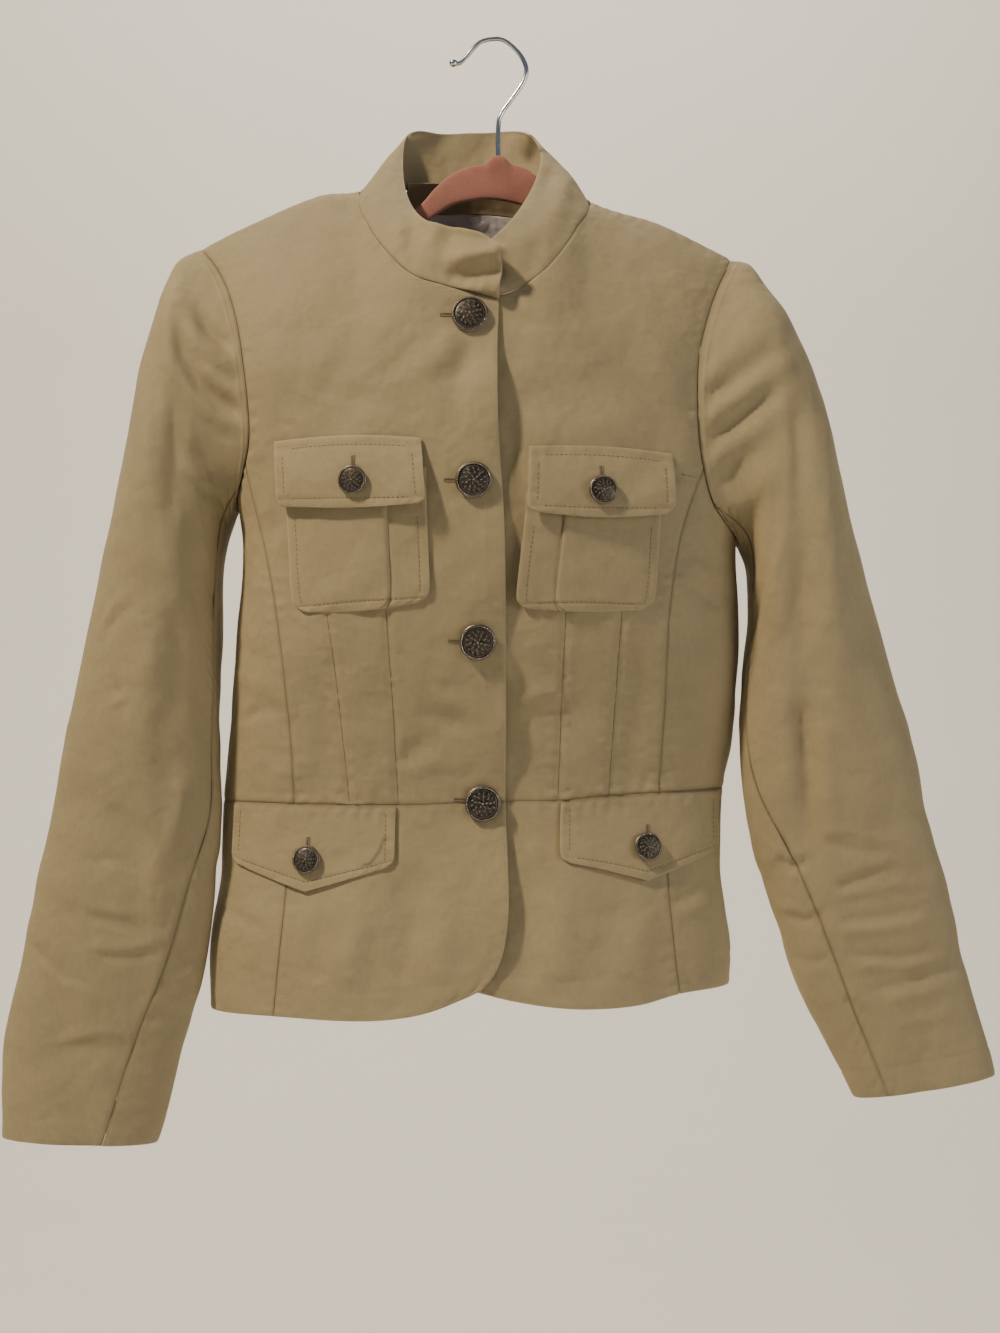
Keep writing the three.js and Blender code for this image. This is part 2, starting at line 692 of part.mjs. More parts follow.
function waistEdge(fromAngle, toAngle, above) {
  return (s) => {
    const angle = mix(fromAngle, toAngle, s);
    return [angle, lookUp(WAIST, 'x', 'z', bodyX(angle, WAIST_LEVEL)) + above];
  };
}

// Rows of the front and back grids: up the long seams, then up the armhole. Neighbours
// share their rows, and the collar shares the neckline's steps.
const SEAM_ROWS = 10;
const FRONT_ARMHOLE_ROWS = 12;
const BACK_ARMHOLE_ROWS = 8;
const FRONT_ROWS = SEAM_ROWS + FRONT_ARMHOLE_ROWS;
const BACK_ROWS = SEAM_ROWS + BACK_ARMHOLE_ROWS;
const SKIRT_ROWS = 8;
const NECK_STEPS = 2;

// Keeps the front and back panels clear of each other along the shoulder seam.
function openShoulderSeam(row, forward) {
  row.forEach((vertex) => {
    vertex.point.y += forward * SEAM_GAP / 2;
  });
}

function frontUpper(side) {
  const over = side === 'right';
  const inward = over ? 1 : -1;
  const armhole = ARMHOLE[side];
  const tip = armhole[0];
  const seamTop = FRONT_SEAM[side][FRONT_SEAM[side].length - 1].z;
  const edgeTop = FRONT_EDGE[side][FRONT_EDGE[side].length - 1].z;
  const neck = over ? COLLAR[NECK_RIGHT] : COLLAR[NECK_LEFT];
  const waistGap = SEAM_GAP / 2;
  const edgeX = lookUp(FRONT_EDGE[side], 'z', 'x', WAIST_LEVEL);
  const seamX = lookUp(FRONT_SEAM[side], 'z', 'x', WAIST_LEVEL);
  const edgeFoot = lookUp(WAIST, 'x', 'z', edgeX) + waistGap;
  const seamFoot = lookUp(WAIST, 'x', 'z', seamX) + waistGap;
  const neckShare = (NECK_STEPS * (over ? NECK_RIGHT : UNDER_END - NECK_LEFT)) / FRONT_ROWS;
  const start = jointEdge([
    [1 - neckShare, frontEdge(side, edgeFoot, edgeTop)],
    [neckShare, over ? neckEdge('front', 0, NECK_RIGHT) : neckEdge('front', UNDER_END, NECK_LEFT)],
  ]);
  const end = jointEdge([
    [SEAM_ROWS / FRONT_ROWS, seamEdge(side, seamFoot, seamTop, inward)],
    [FRONT_ARMHOLE_ROWS / FRONT_ROWS, armholeEdge(side, 'front', seamTop, tip.z)],
  ]);
  const grid = spanGrid({
    start,
    end,
    bottom: waistEdge(start(0)[0], end(0)[0], waistGap),
    top: shoulderEdge('front', neck.x, tip.x),
  }, FRONT_ROWS, 10, over ? () => 0 : underLift);
  openShoulderSeam(grid[FRONT_ROWS], -1);
  return wallGeometry(grid, CLOTH);
}

function sideUpper(side) {
  const sign = side === 'left' ? 1 : -1;
  const wrap = side === 'left' ? 0 : -2 * Math.PI;
  const armhole = ARMHOLE[side];
  const pit = armhole[armhole.length - 1];
  const seamTop = FRONT_SEAM[side][FRONT_SEAM[side].length - 1].z;
  const seamX = lookUp(FRONT_SEAM[side], 'z', 'x', WAIST_LEVEL);
  const seamFoot = lookUp(WAIST, 'x', 'z', seamX) + SEAM_GAP / 2;
  const start = seamEdge(side, seamFoot, seamTop, sign);
  const backEdge = backSeamEdge(side, -sign);
  const end = (t) => [backEdge(t)[0] + wrap, backEdge(t)[1]];
  const under = jointEdge([
    [0.5, armholeEdge(side, 'front', seamTop, pit.z)],
    [0.5, (t) => {
      const [angle, z] = armholeEdge(side, 'back', pit.z, BACK_SEAM_TOP)(t);
      return [angle + wrap, z];
    }],
  ]);
  const top = (s) => {
    if (s === 0) return start(1);
    if (s === 1) return end(1);
    return under(s);
  };
  const grid = spanGrid({
    start,
    end,
    bottom: waistEdge(start(0)[0], end(0)[0], SEAM_GAP / 2),
    top,
  }, SEAM_ROWS, 8, () => 0);
  return wallGeometry(grid, CLOTH);
}

function backUpper() {
  const rise = (side, inward) => jointEdge([
    [SEAM_ROWS / BACK_ROWS, backSeamEdge(side, inward)],
    [BACK_ARMHOLE_ROWS / BACK_ROWS,
      armholeEdge(side, 'back', BACK_SEAM_TOP, ARMHOLE[side][0].z)],
  ]);
  const start = rise('left', 1);
  const end = rise('right', -1);
  const shoulderColumns = 4;
  const columns = 2 * shoulderColumns + NECK_STEPS * (NECK_LEFT - NECK_RIGHT);
  const shoulder = shoulderColumns / columns;
  const top = jointEdge([
    [shoulder, shoulderEdge('back', ARMHOLE.left[0].x, COLLAR[NECK_LEFT].x)],
    [1 - 2 * shoulder, neckEdge('back', NECK_LEFT, NECK_RIGHT)],
    [shoulder, shoulderEdge('back', COLLAR[NECK_RIGHT].x, ARMHOLE.right[0].x)],
  ]);
  const grid = spanGrid({
    start,
    end,
    bottom: waistEdge(start(0)[0], end(0)[0], SEAM_GAP / 2),
    top,
  }, BACK_ROWS, columns, () => 0);
  grid[BACK_ROWS].forEach((vertex, column) => {
    const onShoulder = column <= shoulderColumns || column >= columns - shoulderColumns;
    if (onShoulder) openShoulderSeam([vertex], 1);
  });
  return wallGeometry(grid, CLOTH);
}

function hemZ(angle) {
  const x = bodyX(angle, HEM_LEVEL);
  const side = Math.sin(angle) > 0 ? 'left' : 'right';
  const back = BACK_HEM_DROP * smoothStep(0.3, -0.7, Math.cos(angle));
  const flanks = { left: HEM.left[HEM.left.length - 1].z, right: HEM.right[0].z };
  const middle = (flanks.left + flanks.right) / 2;
  const front = lookUp(HEM[side], 'x', 'z', x);
  const behind = mix(flanks[side], middle, smoothStep(0, -1, Math.cos(angle)));
  return mix(front, behind, smoothStep(0.35, 0, Math.cos(angle))) - back;
}

function frontSkirt(side) {
  const over = side === 'right';
  const inward = over ? 1 : -1;
  const edge = FRONT_EDGE[side];
  const seam = FRONT_SEAM[side];
  const hem = HEM[side];
  const edgeX = lookUp(edge, 'z', 'x', WAIST_LEVEL);
  const seamX = lookUp(seam, 'z', 'x', WAIST_LEVEL);
  const start = frontEdge(side, edge[0].z, lookUp(WAIST, 'x', 'z', edgeX) - SEAM_GAP / 2);
  const end = seamEdge(side, seam[0].z, lookUp(WAIST, 'x', 'z', seamX) - SEAM_GAP / 2, inward);
  const bottom = (s) => {
    if (s === 0) return start(0);
    if (s === 1) return end(0);
    const x = mix(edge[0].x, seam[0].x, s);
    const z = lookUp(hem, 'x', 'z', x);
    return [angleAt('front', x, z), z];
  };
  const grid = spanGrid({
    start,
    end,
    bottom,
    top: waistEdge(start(1)[0], end(1)[0], -SEAM_GAP / 2),
  }, SKIRT_ROWS, 10, over ? () => 0 : underLift);
  return wallGeometry(grid, CLOTH);
}

function backSkirt() {
  const foot = (side, inward) => {
    const seam = FRONT_SEAM[side];
    const x = lookUp(seam, 'z', 'x', WAIST_LEVEL);
    return seamEdge(side, seam[0].z, lookUp(WAIST, 'x', 'z', x) - SEAM_GAP / 2, inward);
  };
  const start = foot('left', 1);
  const rightSeam = foot('right', -1);
  const end = (t) => [rightSeam(t)[0] + 2 * Math.PI, rightSeam(t)[1]];
  const grid = spanGrid({
    start,
    end,
    bottom: (s) => {
      if (s === 0) return start(0);
      if (s === 1) return end(0);
      const angle = mix(start(0)[0], end(0)[0], s);
      return [angle, hemZ(angle)];
    },
    top: waistEdge(start(1)[0], end(1)[0], -SEAM_GAP / 2),
  }, SKIRT_ROWS, 28, () => 0);
  return wallGeometry(grid, CLOTH);
}

// Collar

function collarGrid() {
  const columns = UNDER_END * NECK_STEPS;
  const rows = 4;
  const grid = [];
  for (let row = 0; row <= rows; row += 1) {
    const v = row / rows;
    const line = [];
    for (let column = 0; column <= columns; column += 1) {
      const place = (column / columns) * UNDER_END;
      const face = place > NECK_RIGHT && place < NECK_LEFT ? 'back' : 'front';
      const x = alongRows(COLLAR, 'x', place);
      const z = alongRows(COLLAR, 'z', place);
      const angle = angleAt(face, x, z);
      const lift = place > NECK_LEFT ? underLift(angle, z) : 0;
      const foot = bodyPoint(angle, z, lift).point;
      const top = new THREE.Vector3(
        alongRows(COLLAR, 'topX', place),
        alongRows(COLLAR, 'topY', place),
        alongRows(COLLAR, 'topZ', place),
      );
      const rise = top.clone().sub(foot);
      const atShoulder = Math.min(Math.abs(place - NECK_RIGHT), Math.abs(place - NECK_LEFT));
      const raise = SEAM_GAP + 0.5 + 1.2 * (1 - smoothStep(0, 1.2, atShoulder));
      foot.addScaledVector(rise.clone().normalize(), raise);
      const point = foot.lerp(top, v);
      line.push({ point, normal: new THREE.Vector3() });
    }
    grid.push(line);
  }
  const neckAxis = new THREE.Vector3(COLLAR[BACK_MIDDLE].x, COLLAR_AXIS_Y, 0);
  gridNormals(grid, (point) => new THREE.Vector3(
    point.x - neckAxis.x,
    point.y - neckAxis.y,
    COLLAR_FACES_UP,
  ));
  grid[0].forEach(({ normal }) => {
    normal.z = Math.min(normal.z, 0.05);
    normal.normalize();
  });
  grid.forEach((line, row) => line.forEach(({ point, normal }) => {
    point.addScaledVector(normal, COLLAR_BULGE * Math.sin((Math.PI * row) / rows));
  }));
  return grid;
}

// Sets each point's normal from its neighbours, on the side that outward() points to.
function gridNormals(grid, outward) {
  const last = grid.length - 1;
  grid.forEach((line, row) => line.forEach((vertex, column) => {
    const up = grid[Math.min(last, row + 1)][column].point.clone()
      .sub(grid[Math.max(0, row - 1)][column].point);
    const along = line[Math.min(line.length - 1, column + 1)].point.clone()
      .sub(line[Math.max(0, column - 1)].point);
    vertex.normal = up.cross(along).normalize();
    if (vertex.normal.dot(outward(vertex.point)) < 0) vertex.normal.negate();
  }));
}

// Sleeves

const SLEEVE_LENGTH = 630;

function armholeLoop(side, angle) {
  const rows = ARMHOLE[side];
  const z = mix(rows[0].z, rows[rows.length - 1].z, (1 - Math.cos(angle)) / 2);
  const face = Math.sin(angle) >= 0 ? 'front' : 'back';
  const place = bodyPoint(angleAt(face, armholeX(side, face, z), z), z, 0);
  const outward = Math.sign(rows[0].x) * (SEAM_GAP + 0.2);
  return place.point.add(new THREE.Vector3(outward, 0, 0));
}

function sleeveSection(side, down, angle) {
  const rows = SLEEVE[side];
  const place = down * (rows.length - 1);
  const value = (column) => alongRows(rows, column, place);
  const middle = new THREE.Vector3(
    (value('outX') + value('inX')) / 2,
    -value('forward'),
    (value('outZ') + value('inZ')) / 2,
  );
  const half = new THREE.Vector3(value('outX') - middle.x, 0, value('outZ') - middle.z);
  return middle.addScaledVector(half, Math.cos(angle))
    .add(new THREE.Vector3(0, -value('depth') * Math.sin(angle), 0));
}

function sleevePoint(side, down, angle) {
  const point = sleeveSection(side, down, angle);
  const fade = 1 - smoothStep(0, ARMHOLE_BLEND, down);
  if (fade > 0) {
    const shift = armholeLoop(side, angle).sub(sleeveSection(side, 0, angle));
    point.addScaledVector(shift, fade);
  }
  return point;
}

function sleeveFold(side, down, angle) {
  const along = down * SLEEVE_LENGTH;
  const turn = ((angle / DEGREE + 180) % 360 + 360) % 360 - 180;
  const sum = SLEEVE_FOLDS[side].reduce((total, fold) => {
    const around = ((turn - fold.angle + 540) % 360) - 180;
    return total + softFold(fold, around * DEGREE * SLEEVE_RADIUS, along - fold.down);
  }, 0);
  return sum * smoothStep(0, 0.06, down);
}

function sleeveStrip(side, from, to, rows, columns) {
  const grid = [];
  for (let row = 0; row <= rows; row += 1) {
    const down = (row / rows) ** 1.15;
    const line = [];
    const gap = (SEAM_GAP / 2 / SLEEVE_RADIUS) * (1 + 3 * (1 - smoothStep(0, 0.1, down)));
    for (let column = 0; column <= columns; column += 1) {
      const place = down * (SLEEVE[side].length - 1);
      const first = from(place) + gap;
      const last = to(place) - gap;
      const angle = mix(first, last, column / columns);
      const step = 0.03;
      const drop = 0.004;
      const along = sleevePoint(side, Math.min(1, down + drop), angle)
        .sub(sleevePoint(side, Math.max(0, down - drop), angle));
      const around = sleevePoint(side, down, angle + step)
        .sub(sleevePoint(side, down, angle - step));
      const normal = along.cross(around).setLength(side === 'right' ? 1 : -1);
      const point = sleevePoint(side, down, angle);
      point.addScaledVector(normal, sleeveFold(side, down, angle));
      line.push({ point, normal });
    }
    grid.push(line);
  }
  return wallGeometry(grid, CLOTH);
}

function sleeveTop(side) {
  const rows = SLEEVE[side];
  return sleeveStrip(
    side,
    (place) => (alongRows(rows, 'back', place) - 360) * DEGREE,
    (place) => alongRows(rows, 'front', place) * DEGREE,
    22,
    12,
  );
}

function sleeveUnder(side) {
  const rows = SLEEVE[side];
  return sleeveStrip(
    side,
    (place) => alongRows(rows, 'front', place) * DEGREE,
    (place) => alongRows(rows, 'back', place) * DEGREE,
    22,
    5,
  );
}

// Patches on the fronts

function patchGrid(rows, columns, subRows, liftAt) {
  const grid = [];
  const count = (rows.length - 1) * subRows;
  for (let row = 0; row <= count; row += 1) {
    const place = row / subRows;
    const line = [];
    for (let column = 0; column <= columns; column += 1) {
      const s = column / columns;
      const x = mix(alongRows(rows, 'inX', place), alongRows(rows, 'outX', place), s);
      const sag = alongRows(rows, 'sag', place) * Math.sin(Math.PI * s);
      const z = mix(alongRows(rows, 'inZ', place), alongRows(rows, 'outZ', place), s) - sag;
      line.push(bodyPoint(angleAt('front', x, z), z, liftAt(s, place)));
    }
    grid.push(line);
  }
  return grid;
}

function chestPocket(side) {
  const lift = (s) => {
    const past = s - PLEAT_PLACE;
    const raised = past < -0.01 ? 0 : 1 - smoothStep(0.05, 0.5, past);
    return LAYER_GAP + PATCH_CLOTH + PLEAT_LIFT * raised;
  };
  return wallGeometry(patchGrid(CHEST_POCKET[side], 14, 1, lift), PATCH_CLOTH);
}

function chestFlap(side) {
  const rows = CHEST_FLAP[side];
  const lift = (s, place) => alongRows(rows, 'lift', place);
  return wallGeometry(patchGrid(rows, 10, 1, lift), PATCH_CLOTH);
}

// The angle that lies a given distance round the section from a starting angle.
function angleAlong(start, z, distance) {
  const steps = 12;
  let angle = start;
  for (let i = 0; i < steps; i += 1) {
    const turn = 0.01;
    const speed = bodySurface(angle + turn, z).distanceTo(bodySurface(angle - turn, z)) / (2 * turn);
    angle += distance / steps / speed;
  }
  return angle;
}

function waistFlapLift(drop) {
  return WAIST_FLAP_LIFT + PATCH_CLOTH + drop * WAIST_FLAP_FLARE;
}

function waistFlap(side) {
  const button = WAIST_BUTTONS[side];
  const columns = 12;
  const outer = side === 'left' ? 1 : -1;
  const grid = WAIST_FLAP_ROWS.map((row) => {
    const line = [];
    for (let column = 0; column <= columns; column += 1) {
      const s = column / columns;
      const across = (s - 0.5) * (WAIST_FLAP_WIDTH - 2 * row.inset) * outer;
      const level = button.z + 10;
      const angle = angleAlong(angleAt('front', button.x, level), level, across);
      const waist = lookUp(WAIST, 'x', 'z', bodyX(angle, WAIST_LEVEL));
      const z = waist - row.drop - row.point * (1 - Math.abs(2 * s - 1));
      line.push(bodyPoint(angle, z, waistFlapLift(row.drop)));
    }
    return line;
  });
  return wallGeometry(grid, PATCH_CLOTH);
}

// Inside the back neck

function insideBack(fromX, toX, topDrop, height, depth, thickness) {
  const columns = 10;
  const rows = 3;
  const grid = [];
  for (let row = 0; row <= rows; row += 1) {
    const line = [];
    for (let column = 0; column <= columns; column += 1) {
      const x = mix(fromX, toX, column / columns);
      const share = (x - COLLAR[NECK_RIGHT].x) / (COLLAR[NECK_LEFT].x - COLLAR[NECK_RIGHT].x);
      const neckZ = alongRows(COLLAR, 'z', mix(NECK_RIGHT, NECK_LEFT, share));
      const z = neckZ - topDrop - (height * row) / rows;
      line.push(bodyPoint(angleAt('back', x, z), z, -depth));
    }
    grid.push(line);
  }
  return wallGeometry(grid, thickness);
}

// Buttons

function buttonGeometry(radius) {
  const height = radius * 0.5;
  const profile = [
    [0, 0],
    [radius * 0.28, 0],
    [radius * 0.28, height * 0.32],
    [radius * 0.93, height * 0.38],
    [radius, height * 0.52],
    [radius * 0.97, height * 0.72],
    [radius * 0.84, height * 0.78],
    [radius * 0.5, height * 0.95],
    [0, height],
  ].map(([r, h]) => new THREE.Vector2(r, h));
  return new THREE.LatheGeometry(profile, 16);
}

function placeButton(mesh, spot, lift) {
  const { point, normal } = bodyPoint(angleAt('front', spot.x, spot.z), spot.z, lift);
  mesh.position.copy(point);
  mesh.quaternion.setFromUnitVectors(new THREE.Vector3(0, 1, 0), normal);
  return mesh;
}

// Hanger and hook

function toManifold(geometry) {
  const bare = geometry.index ? geometry.clone() : geometry;
  bare.deleteAttribute('normal');
  bare.deleteAttribute('uv');
  const merged = mergeVertices(bare, 1e-3);
  return new wasm.Manifold(new wasm.Mesh({
    numProp: 3,
    vertProperties: new Float32Array(merged.attributes.position.array),
    triVerts: new Uint32Array(merged.index.array),
  }));
}

function fromManifold(solid) {
  const mesh = solid.getMesh();
  const geometry = new THREE.BufferGeometry();
  geometry.setAttribute('position', new THREE.Float32BufferAttribute(mesh.vertProperties, 3));
  geometry.setIndex(new THREE.Uint32BufferAttribute(mesh.triVerts, 1));
  return geometry;
}

function hangerGeometry() {
  const upper = [];
  const lower = [];
  const sides = [[...HANGER_ARM.right].reverse(), HANGER_ARM.left];
  sides.flat().forEach(({ x, top, deep }) => {
    upper.push(new THREE.Vector2(x, top));
    lower.push(new THREE.Vector2(x, top - deep));
  });
  const outline = new THREE.Shape([...upper, ...lower.reverse()]);
  const bevel = 1.6;
  const plate = new THREE.ExtrudeGeometry(outline, {
    depth: HANGER_THICKNESS - 2 * bevel,
    bevelThickness: bevel,
    bevelSize: bevel,
    bevelOffset: -bevel,
    bevelSegments: 1,
  });
  plate.rotateX(Math.PI / 2);
  plate.translate(0, (HANGER_THICKNESS - 2 * bevel) / 2, 0);
  const bossHeight = 14;
  const boss = new THREE.CylinderGeometry(BOSS_RADIUS * 0.8, BOSS_RADIUS, bossHeight, 20);
  boss.rotateX(Math.PI / 2);
  boss.translate(BOSS_X, 0, BOSS_TOP - bossHeight / 2);
  const hole = new THREE.CylinderGeometry(HOOK_WIRE_RADIUS + 0.3, HOOK_WIRE_RADIUS + 0.3, 24, 16);
  hole.rotateX(Math.PI / 2);
  hole.translate(BOSS_X, 0, BOSS_TOP);
  return fromManifold(toManifold(plate).add(toManifold(boss)).subtract(toManifold(hole)));
}

function hookGeometry() {
  const path = new THREE.CatmullRomCurve3(
    HOOK_PATH.map(({ x, z }) => new THREE.Vector3(x, 0, z)),
    false,
    'centripetal',
  );
  const round = new THREE.Shape();
  round.absarc(0, 0, HOOK_WIRE_RADIUS, 0, 2 * Math.PI, false);
  const wire = new THREE.ExtrudeGeometry(round, {
    steps: 28,
    extrudePath: path,
    curveSegments: 4,
  });
  const tip = new THREE.SphereGeometry(HOOK_TIP_RADIUS, 12, 8);
  tip.translate(HOOK_PATH[0].x, 0, HOOK_PATH[0].z);
  return fromManifold(toManifold(wire).add(toManifold(tip)));
}

// The object

const MATERIAL = {
  cloth: new THREE.MeshStandardMaterial({ color: COLOUR.cloth, roughness: 0.75, metalness: 0 }),
  facing: new THREE.MeshStandardMaterial({ color: COLOUR.facing, roughness: 0.8, metalness: 0 }),
  lining: new THREE.MeshStandardMaterial({ color: COLOUR.lining, roughness: 0.5, metalness: 0 }),
  velvet: new THREE.MeshStandardMaterial({ color: COLOUR.velvet, roughness: 0.9, metalness: 0 }),
  chrome: new THREE.MeshStandardMaterial({ color: COLOUR.chrome, roughness: 0.15, metalness: 1 }),
  pewter: new THREE.MeshStandardMaterial({ color: COLOUR.pewter, roughness: 0.4, metalness: 1 }),
};

function addMesh(group, name, geometry, material) {
  const mesh = new THREE.Mesh(geometry, MATERIAL[material]);
  mesh.name = name;
  group.add(mesh);
  return mesh;
}

const jacket = new THREE.Group();
for (const side of ['right', 'left']) {
  addMesh(jacket, `front_${side}_upper`, frontUpper(side), 'cloth');
  addMesh(jacket, `side_${side}_upper`, sideUpper(side), 'cloth');
  addMesh(jacket, `front_${side}_skirt`, frontSkirt(side), 'cloth');
  addMesh(jacket, `sleeve_${side}_top`, sleeveTop(side), 'cloth');
  addMesh(jacket, `sleeve_${side}_under`, sleeveUnder(side), 'cloth');
  addMesh(jacket, `chest_pocket_${side}`, chestPocket(side), 'cloth');
  addMesh(jacket, `chest_flap_${side}`, chestFlap(side), 'cloth');
  addMesh(jacket, `waist_flap_${side}`, waistFlap(side), 'cloth');
}
addMesh(jacket, 'back_upper', backUpper(), 'cloth');
addMesh(jacket, 'back_skirt', backSkirt(), 'cloth');
addMesh(jacket, 'collar', wallGeometry(collarGrid(), CLOTH), 'cloth');

addMesh(
  jacket,
  'back_neck_facing',
  insideBack(-46, 24, 1, FACING_HEIGHT, FACING_DEPTH, LINING_CLOTH),
  'facing',
);
addMesh(
  jacket,
  'back_lining',
  insideBack(-62, 38, 1.4 + FACING_HEIGHT, LINING_HEIGHT, FACING_DEPTH, LINING_CLOTH),
  'lining',
);

FRONT_BUTTONS.forEach((spot, i) => {
  const mesh = addMesh(jacket, `front_button_${i + 1}`, buttonGeometry(FRONT_BUTTON_RADIUS), 'pewter');
  placeButton(mesh, spot, BUTTON_LIFT);
});
for (const side of ['right', 'left']) {
  const chest = addMesh(jacket, `chest_button_${side}`, buttonGeometry(POCKET_BUTTON_RADIUS), 'pewter');
  placeButton(chest, CHEST_BUTTONS[side], CHEST_FLAP[side][3].lift + BUTTON_LIFT);
  const waist = addMesh(jacket, `waist_button_${side}`, buttonGeometry(POCKET_BUTTON_RADIUS), 'pewter');
  const drop = lookUp(WAIST, 'x', 'z', WAIST_BUTTONS[side].x) - WAIST_BUTTONS[side].z;
  placeButton(waist, WAIST_BUTTONS[side], waistFlapLift(drop) + BUTTON_LIFT);
}

const hanger = new THREE.Group();
addMesh(hanger, 'hanger', hangerGeometry(), 'velvet');
addMesh(hanger, 'hanger_hook', hookGeometry(), 'chrome');

const root = new THREE.Group();
root.add(jacket, hanger);
export default root;
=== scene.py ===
"""A fitted utility jacket of cotton twill on a slim velvet hanger.

Lengths are in millimetres up to the last step, where MM turns them into metres.
The origin is the inside top of the hanger's hook, +Z is up and the front faces -Y.
"Right" and "left" are the wearer's: the wearer's right is on the -X side.
"""
import math

import bmesh
import bpy
import numpy as np
from mathutils import Matrix, Vector


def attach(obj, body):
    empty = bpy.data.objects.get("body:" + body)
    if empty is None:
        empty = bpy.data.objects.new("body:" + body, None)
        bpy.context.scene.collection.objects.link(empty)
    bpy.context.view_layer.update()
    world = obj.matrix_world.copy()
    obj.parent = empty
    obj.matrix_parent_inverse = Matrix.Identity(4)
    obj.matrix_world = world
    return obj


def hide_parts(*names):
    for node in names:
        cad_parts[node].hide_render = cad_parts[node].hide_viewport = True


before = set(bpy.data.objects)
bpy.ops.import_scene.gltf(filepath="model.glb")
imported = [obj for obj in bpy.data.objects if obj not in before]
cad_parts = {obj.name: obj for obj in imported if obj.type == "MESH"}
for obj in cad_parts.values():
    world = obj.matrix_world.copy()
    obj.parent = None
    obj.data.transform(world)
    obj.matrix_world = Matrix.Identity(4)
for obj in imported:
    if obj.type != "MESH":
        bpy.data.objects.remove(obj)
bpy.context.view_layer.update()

MM = 0.001
CLOTH = 1.8
PATCH_CLOTH = 1.4
LINING_CLOTH = 1.0
VISIBLE_GAP = 0.15
LAYER_GAP = 0.5
UNDER_DROP = CLOTH + 0.8
SHOULDER_ROLL = 130
SHOULDER_SHAPE = 0.7
SECTION_SHAPE = 0.75
FRONT_BUTTON_RADIUS = 11.7
POCKET_BUTTON_RADIUS = 9.3
COLLAR_BULGE = 3
COLLAR_AXIS_Y = -8
COLLAR_FACES_UP = 20
BACK_ARMHOLE_BOW = 5
BACK_NECK_TRIM = 0.7
WAIST_FLAP_WIDTH = 118
WAIST_FLAP_LIFT = 0.5
WAIST_FLAP_FLARE = 0.02
PLEAT_LIFT = 0.8
BUTTON_LIFT = 0.4
WAIST_LEVEL = -528
HEM_LEVEL = -665
TYPICAL_HALF_WIDTH = 175
SLEEVE_RADIUS = 50
SLEEVE_LENGTH = 630
ARMHOLE_BLEND = 0.22
BACK_HEM_DROP = 3
BACK_SEAM_TOP = -285
NECK_INSIDE = (-62, 38)
FACING_TOP = -7
FACING_HEIGHT = 20
FACING_JOIN = 0.4
LINING_HEIGHT = 90
BUTTONHOLE_FAR = 20
BUTTONHOLE_NEAR = 4
BUTTONHOLE_TILT = 0.5
LINING_DEPTH = CLOTH + 1.8
HANGER_THICKNESS = 5
HOOK_WIRE_RADIUS = 1.7
HOOK_TIP_RADIUS = 3
BOSS_X = 4.4

# The camera stands level in front of the jacket, and one pixel of the photograph is
# this many millimetres at the hook.
PIXEL = 0.70
CAMERA_DISTANCE = 1500
IMAGE_HEIGHT = 1333
IMAGE_MIDDLE = (500, 666)
CAMERA_X = 5.6
CAMERA_Z = -437.5


def table(names, *rows):
    """A table of rows as one array for each named column."""
    columns = np.array(rows, float).T
    return dict(zip(names.split(), columns))


BODY = table(
    "z centre half front back",
    (-60, -12, 205, 54, 56),
    (-104, -12, 202, 60, 58),
    (-150, -13, 193, 66, 60),
    (-200, -13, 185, 74, 60),
    (-250, -13, 178, 82, 60),
    (-300, -9, 173, 86, 58),
    (-345, -2, 172, 86, 56),
    (-420, -3, 175, 78, 50),
    (-480, -7, 176, 64, 45),
    (-530, -13.5, 173.5, 56, 44),
    (-580, -14.5, 175, 62, 50),
    (-630, -15.5, 181, 70, 58),
    (-690, -15.5, 180, 76, 64),
)
SHOULDER = table(
    "x z",
    (-240, -172),
    (-203, -145.6),
    (-160, -124),
    (-120, -107.8),
    (-92.4, -104.3),
    (-76, -92),
    (-50, -70),
    (-12, -55),
    (25, -70),
    (50, -92),
    (69.3, -112),
    (116, -127.4),
    (154, -145.6),
    (167.3, -153.3),
    (205, -182),
)
BODY_FOLDS = (
    dict(x=-150, z=-250, depth=2.2, length=60, width=12, lean=14),
    dict(x=125, z=-262, depth=2.4, length=55, width=12, lean=-16),
    dict(x=-95, z=-225, depth=-1.8, length=60, width=18, lean=20),
    dict(x=80, z=-225, depth=-2.0, length=60, width=18, lean=-22),
    dict(x=-112, z=-470, depth=-1.6, length=60, width=13, lean=-4),
    dict(x=98, z=-470, depth=-1.8, length=60, width=13, lean=4),
    dict(x=-105, z=-645, depth=2.6, length=50, width=20, lean=6),
    dict(x=76, z=-640, depth=2.4, length=50, width=20, lean=-8),
)
COLLAR = table(
    "x z top_x top_y top_z",
    (5, -193, 8.3, -76, -159),
    (-9, -189, -8, -73, -148.5),
    (-32, -182.7, -27, -64, -142),
    (-54.7, -173.7, -44, -51, -135.5),
    (-75, -151.5, -54, -33, -123),
    (-88.5, -127, -60.5, -13, -104),
    (-92.4, -104.3, -63, 8, -82),
    (-78, -101, -60.5, 31, -57),
    (-48, -99, -38, 45, -53.5),
    (-12, -98, -11.8, 50, -52.8),
    (25, -101, 12, 46, -51.5),
    (54, -107, 29, 32, -57.5),
    (69.3, -112, 35.4, 12, -76),
    (61, -130, 30.5, -9, -98),
    (50.4, -151.4, 22, -27, -118),
    (33, -173.5, 12, -45, -135),
    (6.3, -189, -2, -58, -149),
    (-26, -187, -22, -54, -146),
)
NECK_RIGHT, BACK_MIDDLE, NECK_LEFT, UNDER_END = 6, 9, 12, 17
